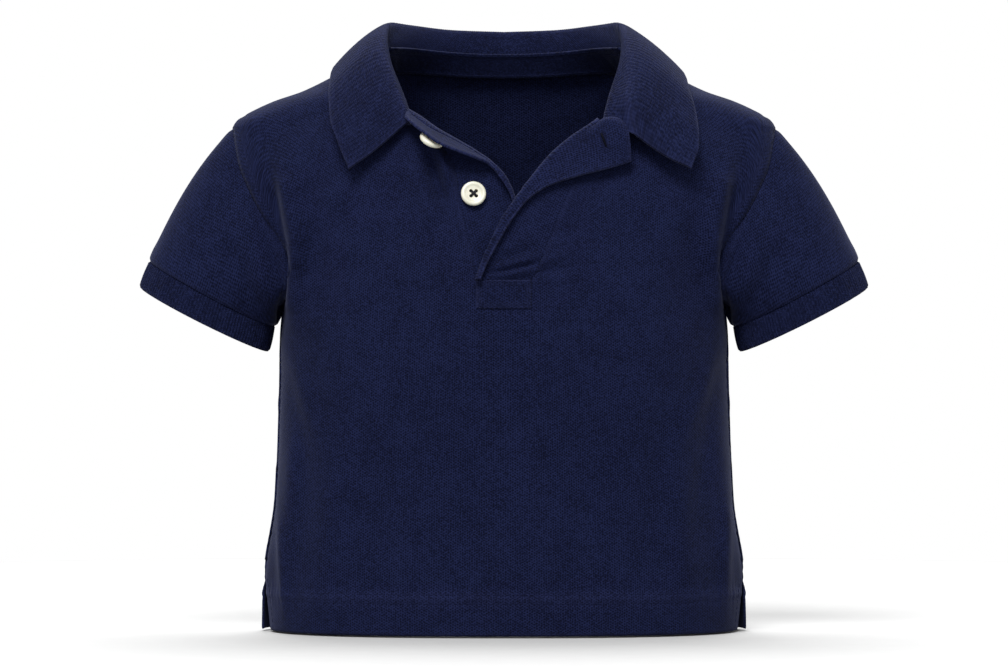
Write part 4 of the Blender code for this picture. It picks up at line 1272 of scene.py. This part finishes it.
def knit_look(name, kind):
    """Cotton knit: "pique" has a honeycomb of small pits, "rib" and "jersey" rows of loops."""
    look = Look(name)
    uv = look.wander(look.coordinates("cloth"), 420.0, 0.0007)
    if kind == "pique":
        bands = [look.waves(uv, PIQUE_PITCH, np.radians(angle)) for angle in (0.0, 60.0, 120.0)]
        total = look.math("ADD", look.math("ADD", bands[0], bands[1]), bands[2])
        pattern = look.math("MULTIPLY_ADD", total, -0.222, 0.667)
    else:
        pitch = RIB_LOOP_PITCH if kind == "rib" else STITCH_PITCH
        loops = look.waves(uv, pitch, np.radians(68.0))
        other = look.waves(uv, pitch, np.radians(112.0))
        pattern = look.math("MULTIPLY_ADD", look.math("MAXIMUM", loops, other), 0.5, 0.5)
    fibre = look.noise(uv, 1500.0, 3.0)
    blotch = look.noise(uv, 90.0, 3.0)
    cloud = look.noise(uv, 20.0, 2.0)
    # The knit's pits and hollows are painted darker and its raised loops lighter, in step with the bump:
    # painted shade and highlight of the relief
    value = look.sway(pattern, PIQUE_SHADE_CONTRAST if kind == "pique" else LOOP_SHADE_CONTRAST)
    value = look.math("ADD", value, look.sway(fibre, FIBRE_CONTRAST))
    value = look.math("ADD", value, look.sway(blotch, BLOTCH_CONTRAST))
    value = look.math("ADD", value, look.sway(cloud, CLOUD_CONTRAST, middle=0.5))
    color = look.ramp(value, ((0.0, NAVY_DARK), (0.5, NAVY_MID), (1.0, NAVY_LIGHT)))
    worn = look.math("MULTIPLY", look.attribute("wear"), look.math("MULTIPLY_ADD", fibre, 1.6, -0.2))
    color = look.mix(look.math("MULTIPLY", worn, 0.6), color, NAVY_WORN)
    height = look.math("ADD", look.math("MULTIPLY", pattern, 0.7), look.math("MULTIPLY", fibre, 0.6))
    look.bump(height, 0.00022, 0.7)
    rough = look.math("MULTIPLY_ADD", fibre, 0.12, 0.82)
    return look.surface(color, rough, Sheen_Weight=0.05, Sheen_Roughness=0.4, Sheen_Tint=SHEEN_TINT,
                        Specular_IOR_Level=0.06)


def thread_look(name, dark, light):
    """Twisted cotton thread."""
    look = Look(name)
    place = look.coordinates()
    twist = look.noise(place, 2600.0, 2.0)
    color = look.ramp(twist, ((0.3, dark), (0.7, light)))
    look.bump(twist, 0.00008, 0.6)
    rough = look.math("MULTIPLY_ADD", twist, 0.2, 0.6)
    return look.surface(color, rough, Specular_IOR_Level=0.05)


def button_look():
    """Cream moulded button with faint clouding and fine scratches."""
    look = Look("button_cream")
    place = look.coordinates()
    cloud = look.noise(place, 180.0, 3.0)
    fine = look.noise(place, 2400.0, 2.0)
    color = look.ramp(cloud, ((0.3, (0.42, 0.40, 0.33)), (0.7, (0.50, 0.48, 0.40))))
    look.bump(fine, 0.00002, 0.35)
    rough = look.math("MULTIPLY_ADD", fine, 0.25, 0.2)
    return look.surface(color, rough, Coat_Weight=0.25, Coat_Roughness=0.25,
                        Subsurface_Weight=0.05, Specular_IOR_Level=0.45)


# Profile of a button: how far from its axis and how high above its middle
BUTTON_PROFILE = (
    {"radius": 0.0, "height": 0.62},
    {"radius": 1.6, "height": 0.62},
    {"radius": 3.2, "height": 0.64},
    {"radius": 3.7, "height": 0.78},
    {"radius": 4.1, "height": 1.08},
    {"radius": 4.5, "height": 1.2},
    {"radius": 5.0, "height": 1.16},
    {"radius": 5.4, "height": 0.94},
    {"radius": 5.65, "height": 0.55},
    {"radius": 5.7, "height": 0.1},
    {"radius": 5.55, "height": -0.5},
    {"radius": 5.1, "height": -0.95},
    {"radius": 4.3, "height": -1.18},
    {"radius": 2.0, "height": -1.2},
    {"radius": 0.0, "height": -1.2},
)
BUTTON_SEGMENTS = 72


def button(name, place, axis, look):
    """Turned four-hole button, its dished face along the axis."""
    bm = bmesh.new()
    first = None
    last = None
    rings = []
    for spot in BUTTON_PROFILE:
        if spot["radius"] == 0.0:
            pole = bm.verts.new((0.0, 0.0, spot["height"] * MM))
            first, last = (pole, last) if first is None else (first, pole)
            continue
        turn = np.arange(BUTTON_SEGMENTS) * 2 * np.pi / BUTTON_SEGMENTS
        rings.append([bm.verts.new((spot["radius"] * np.cos(a) * MM, spot["radius"] * np.sin(a) * MM,
                                    spot["height"] * MM)) for a in turn])
    for upper, lower in zip(rings[:-1], rings[1:]):
        for k in range(BUTTON_SEGMENTS):
            after = (k + 1) % BUTTON_SEGMENTS
            bm.faces.new((upper[after], upper[k], lower[k], lower[after]))
    for k in range(BUTTON_SEGMENTS):
        after = (k + 1) % BUTTON_SEGMENTS
        bm.faces.new((first, rings[0][k], rings[0][after]))
        bm.faces.new((last, rings[-1][after], rings[-1][k]))
    mesh = bpy.data.meshes.new(name)
    bm.to_mesh(mesh)
    bm.free()
    item = bpy.data.objects.new(name, mesh)
    item.data.materials.append(look)
    bpy.context.scene.collection.objects.link(item)
    bm = bmesh.new()
    for x in (-0.5, 0.5):
        for y in (-0.5, 0.5):
            hole = bmesh.ops.create_cone(
                bm, cap_ends=True, segments=20, radius1=BUTTON_HOLE_RADIUS * MM,
                radius2=BUTTON_HOLE_RADIUS * MM, depth=BUTTON_THICK * 2 * MM)
            shift = Vector((x, y, 0)) * BUTTON_HOLE_PITCH * MM
            bmesh.ops.translate(bm, verts=hole["verts"], vec=shift)
    mesh = bpy.data.meshes.new(name + "_cutter")
    bm.to_mesh(mesh)
    bm.free()
    cutter = bpy.data.objects.new(name + "_cutter", mesh)
    bpy.context.scene.collection.objects.link(cutter)
    holes = item.modifiers.new("holes", "BOOLEAN")
    holes.operation = "DIFFERENCE"
    holes.solver = "EXACT"
    holes.object = cutter
    bpy.context.view_layer.update()
    shape = bpy.data.meshes.new_from_object(item.evaluated_get(bpy.context.evaluated_depsgraph_get()))
    item.modifiers.clear()
    item.data = shape
    bpy.data.objects.remove(cutter, do_unlink=True)
    turn = Vector(axis).to_track_quat("Z", "Y").to_matrix().to_4x4()
    turn.translation = Vector(place) * MM
    item.data.transform(turn)
    item.data.shade_smooth()
    item.data.set_sharp_from_angle(angle=np.radians(40))
    return item


def lower_button_place():
    """Centre and axis of the lower button, flat on the button placket."""
    x, z = BUTTON_LOWER
    seam_x = float(BUTTON_SIDE("seam_x", z))
    edge_x = float(BUTTON_SIDE("edge_x", z))
    sink = float(BUTTON_SIDE("sink", z)) * (x - seam_x) / (edge_x - seam_x)
    slope_x = (torso_y(x + 3, z, -1) - torso_y(x - 3, z, -1)) / 6 + sink / (x - seam_x)
    slope_z = (torso_y(x, z + 3, -1) - torso_y(x, z - 3, -1)) / 6
    axis = np.array((slope_x, -1.0, slope_z))
    return box_center("button_lower"), axis / np.linalg.norm(axis)


def upper_button_place():
    """Centre and axis of the upper button, which hangs face down from the turned-out lip."""
    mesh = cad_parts["button_upper"].data
    places = np.array([vertex.co for vertex in mesh.vertices])
    _, _, directions = np.linalg.svd(places - places.mean(axis=0), full_matrices=False)
    axis = directions[2] * -np.sign(directions[2][2])
    up_lip = np.array((0.0, np.cos(LIP_SLOPE), np.sin(LIP_SLOPE)))
    return box_center("button_upper") + up_lip * UPPER_TUCK, axis


def box_center(node):
    """Middle of a CAD node's box, in millimetres."""
    low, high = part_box(node)
    return (np.array(low) + np.array(high)) / 2 / MM


def add_cloth(grid, name, wall, look, node, offset=-1.0, keep=None):
    """A piece of cloth from its grid: thin wall, look, place in the frame and flat cut."""
    outer_share = (1 + offset) / 2
    shell = None if grid.rib is None else (wall * outer_share, wall * (1 - outer_share))
    item = grid.object(name, keep, shell)
    item.data.materials.append(look)
    if shell is None:
        thick = item.modifiers.new("wall", "SOLIDIFY")
        thick.thickness = wall * MM
        thick.offset = offset
    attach(item, "root")
    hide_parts(node)
    wide = float((grid.across[:, -1] - grid.across[:, 0]).max()) * MM
    long = float((grid.along[-1] - grid.along[0]).max()) * MM
    area = min(grid.area(keep) * MM * MM, wide * long)
    print("cut", name, round(wide, 4), round(long, 4), round(area, 5))


def in_slit(center):
    """Faces of the front that the slit takes away."""
    x, z = center[:, 0], center[:, 2]
    return (z < SLIT_BOTTOM_Z) | (x < -slit_x(z, -1)) | (x > slit_x(z, 1))


pique = knit_look("pique_navy", "pique")
rib = knit_look("rib_navy", "rib")
jersey = knit_look("tape_navy", "jersey")
cream = button_look()
navy_thread = thread_look("thread_navy", (0.0016, 0.0028, 0.0130), (0.0075, 0.0100, 0.0360))
dark_thread = thread_look("thread_dark", (0.004, 0.004, 0.006), (0.018, 0.018, 0.022))

front = front_grid()
back = back_grid()
body = Surface(front, back)
sleeves = {sign: sleeve_grid(sign, body) for sign in (1, -1)}
cuffs = {sign: cuff_grid(sign) for sign in (1, -1)}
collar = collar_grid()
tape = tape_grid()
button_side = button_placket_grid()
buttonhole_side = buttonhole_placket_grid()
box = box_grid()

add_cloth(front, "shirt_front", PANEL_WALL, pique, "front", keep=in_slit)
add_cloth(back, "shirt_back", PANEL_WALL, pique, "back")
for side_name, sign in (("left", 1), ("right", -1)):
    add_cloth(sleeves[sign], "shirt_sleeve_" + side_name, PANEL_WALL, pique, "sleeve_" + side_name)
    add_cloth(cuffs[sign], "shirt_cuff_" + side_name, CUFF_WALL, rib, "cuff_" + side_name)
add_cloth(collar, "shirt_collar", COLLAR_WALL, rib, "collar",
          offset=0.0)
add_cloth(tape, "shirt_neck_tape", TAPE_WALL, jersey, "neck_tape")
add_cloth(button_side, "shirt_placket_button", PLACKET_WALL, pique, "placket_button")
add_cloth(buttonhole_side, "shirt_placket_buttonhole", PLACKET_WALL, pique, "placket_buttonhole")
add_cloth(box, "shirt_placket_box", PANEL_WALL, pique, "placket_box")


def stitch_panels():
    """Hem rows, vent edges and armhole rows, then the rows beside the plackets."""
    hem = Threads()
    seams = Threads()
    for side, grid in ((-1, front), (1, back)):
        surface = Surface(grid)
        for row in HEM_ROWS:
            x = np.linspace(-HEM_ROW_HALF, HEM_ROW_HALF, 400)
            hem.sew(*cast(surface, x, np.full(400, HEM_Z + row), side))
        for sign in (-1, 1):
            z = np.linspace(HEM_Z + 0.8, VENT_TOP_Z + 1.5, 60)
            half = SECTIONS("half_front" if side < 0 else "half_back", z)
            hem.sew(*cast(surface, sign * (half - VENT_INSET), z, side))
            z = np.linspace(*ARMHOLE_ROW, 160)
            seams.sew(*cast(surface, sign * (ARMHOLE("x", z) - ARMHOLE_INSET), z, side))
    hem.object("stitch_hem", navy_thread, "pique")
    z = np.linspace(SLIT_BOTTOM_Z + 1.0, SLIT_TOP_Z - 12.0, 90)
    seams.sew(*cast(Surface(button_side), -slit_x(z, -1) + 1.4, z, -1))
    z = np.linspace(SLIT_BOTTOM_Z + 1.0, SLIT_BOTTOM_Z + 20.0, 40)
    seams.sew(*cast(Surface(front), slit_x(z, 1) + 1.2, z, -1))
    seams.object("stitch_seams", navy_thread, "pique")


def stitch_box():
    """Square of stitches inside the patch's edge."""
    threads = Threads()
    surface = Surface(box)
    half = PLACKET_HALF - BOX_INSET
    top_z = SLIT_BOTTOM_Z - BOX_TOP_INSET
    foot_z = BOX_BOTTOM_Z + BOX_INSET
    for row_z in (top_z, foot_z):
        x = np.linspace(-half, half, 60)
        threads.sew(*cast(surface, x, np.full(60, row_z), -1), pitch=BOX_PITCH)
    for sign in (-1, 1):
        z = np.linspace(foot_z, top_z, 30)
        threads.sew(*cast(surface, sign * half, z, -1), pitch=BOX_PITCH)
    threads.object("stitch_box", navy_thread, "pique")


TAPE_STITCH_SHARE = TAPE_SHARE * 0.93


def stitch_tape():
    """A row along each edge of the back-neck tape."""
    threads = Threads()
    surface = Surface(tape)
    share = np.linspace(-TAPE_STITCH_SHARE, TAPE_STITCH_SHARE, 200)
    x, top_z = back_top(np.abs(share))
    x = x * np.sign(share + 1e-9)
    for drop in (1.0, TAPE_DEPTH):
        threads.sew(*cast(surface, x, top_z + TAPE_LIFT - drop, -1, TAPE_WALL))
    threads.object("stitch_tape", navy_thread, "tape")


HOLE_TOP = np.array((43.7, -37.8))
HOLE_FOOT = np.array((46.5, -45.8))
SATIN_REACH = (0.45, 1.4)
SATIN_RADIUS = 0.15
SLOT_SHADE_ROD_RADIUS = 0.5
# Near-black colours of the rod along the buttonhole's slot: painted shade of the gap in the cloth
SLOT_PAINTED_SHADE_DARK = (0.0004, 0.0006, 0.0022)
SLOT_PAINTED_SHADE_LIGHT = (0.0009, 0.0012, 0.0042)


def stitch_buttonhole():
    """Slot between two rows of close stitches, on the turned-out facing; the slot's gap is a near-black
    rod, painted shade.
    """
    share = np.linspace(0.0, 1.0, 30)
    slot_x, slot_z = (HOLE_TOP[:, None] + (HOLE_FOOT - HOLE_TOP)[:, None] * share)
    slot, normal = cast(Surface(buttonhole_side), slot_x, slot_z, -1, PLACKET_WALL)
    ahead = slot[-1] - slot[0]
    ahead = ahead / np.linalg.norm(ahead)
    satin = Threads()
    for sign in (-1, 1):
        across = np.cross(normal, ahead) * sign
        satin.lay(slot + across * SATIN_REACH[0], slot + across * SATIN_REACH[1], normal, SATIN_RADIUS)
    satin.object("stitch_buttonhole", navy_thread, "pique")
    # A near-black rod along the slot stands in for the shade inside the cut: painted shade
    shade_rod = Threads()
    shade_rod.lay(slot[1:2], slot[-2:-1], normal[15:16], SLOT_SHADE_ROD_RADIUS)
    shade_rod.object("buttonhole_slot_painted_shade", thread_look("slot_painted_shade", SLOT_PAINTED_SHADE_DARK, SLOT_PAINTED_SHADE_LIGHT), "pique")


# Threads in a button: a cross of doubled strands on its face, and ties down into the cloth
CROSS_HEIGHT = 0.75
CROSS_SPREAD = 0.22
CROSS_STEP = 0.1
CROSS_RADIUS = 0.42
TIE_REACH = BUTTON_THICK + 1.0
TIE_RADIUS = 0.24


def sew_buttons():
    """Both buttons and the threads through their holes."""
    crossed = Threads()
    ties = Threads()
    for name, (place, axis) in (("lower", lower_button_place()), ("upper", upper_button_place())):
        item = button("shirt_button_" + name, place, axis, cream)
        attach(item, "root")
        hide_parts("button_" + name)
        turn = np.array(Vector(axis).to_track_quat("Z", "Y").to_matrix())
        axis = np.array(axis)
        half = BUTTON_HOLE_PITCH / 2
        corners = [np.array((x * half, y * half, CROSS_HEIGHT)) @ turn.T + place for x, y in
                   ((-1, -1), (1, 1), (-1, 1), (1, -1))]
        for k in (0, 2):
            rise = axis * (CROSS_STEP if k else 0.0)
            for shift in (-CROSS_SPREAD, CROSS_SPREAD):
                aside = np.cross(corners[k + 1] - corners[k], axis)
                aside = aside / np.linalg.norm(aside) * shift
                start, end = corners[k] + aside + rise, corners[k + 1] + aside + rise
                crossed.lay(start[None], end[None], axis[None], CROSS_RADIUS)
        for corner in corners:
            foot = corner - axis * TIE_REACH
            ties.lay(corner[None], foot[None], np.cross(axis, (1.0, 0.2, 0.1))[None], TIE_RADIUS)
    crossed.object("button_cross", dark_thread, "button")
    ties.object("button_ties", dark_thread, "button")


stitch_panels()
stitch_box()
stitch_tape()
stitch_buttonhole()
sew_buttons()


def sun(name, azimuth, elevation, strength, spread):
    """Soft distant light; azimuth 0 is the front and 90 the wearer's left, in degrees."""
    data = bpy.data.lights.new(name, "SUN")
    data.energy = strength
    data.angle = np.radians(spread)
    item = bpy.data.objects.new(name, data)
    around, up = np.radians(azimuth), np.radians(elevation)
    source = Vector((np.sin(around) * np.cos(up), -np.cos(around) * np.cos(up), np.sin(up)))
    item.rotation_euler = source.to_track_quat("Z", "Y").to_euler()
    bpy.context.scene.collection.objects.link(item)


FLOOR_RADIUS = 0.75
FLOOR_DROP = 0.0008
FLOOR_DARK = (0.33, 0.33, 0.33)
FLOOR_LIGHT = (0.35, 0.35, 0.35)


def floor():
    """Plain pale floor under the hem."""
    bm = bmesh.new()
    bmesh.ops.create_circle(bm, cap_ends=True, segments=128, radius=FLOOR_RADIUS)
    mesh = bpy.data.meshes.new("floor")
    bm.to_mesh(mesh)
    bm.free()
    item = bpy.data.objects.new("floor", mesh)
    item.location = (0.0, 0.0, cad_lo[2] - FLOOR_DROP)
    look = Look("floor_pale")
    grain = look.noise(look.coordinates(), 90.0, 2.0)
    color = look.ramp(grain, ((0.0, FLOOR_DARK), (1.0, FLOOR_LIGHT)))
    item.data.materials.append(look.surface(color, 0.8, Specular_IOR_Level=0.1))
    bpy.context.scene.collection.objects.link(item)


scene = bpy.context.scene
floor()
world = bpy.data.worlds.new("studio")
scene.world = world
world.use_nodes = True
world.node_tree.nodes["Background"].inputs["Color"].default_value = (1.0, 1.0, 1.0, 1.0)
world.node_tree.nodes["Background"].inputs["Strength"].default_value = 1.0
sun("key", azimuth=-12.0, elevation=50.0, strength=4.2, spread=26.0)
sun("back", azimuth=180.0, elevation=62.0, strength=4.0, spread=40.0)

CAMERA_DISTANCE = 2.33
CAMERA_HEIGHT = -0.130
CAMERA_LENS = 180.16
camera = bpy.data.objects.new("camera", bpy.data.cameras.new("camera"))
scene.collection.objects.link(camera)
camera.location = (0.0, -CAMERA_DISTANCE, CAMERA_HEIGHT)
camera.rotation_euler = (np.pi / 2, 0.0, 0.0)
camera.data.sensor_width = 36.0
camera.data.lens = CAMERA_LENS
scene.camera = camera
scene.view_settings.view_transform = "Standard"
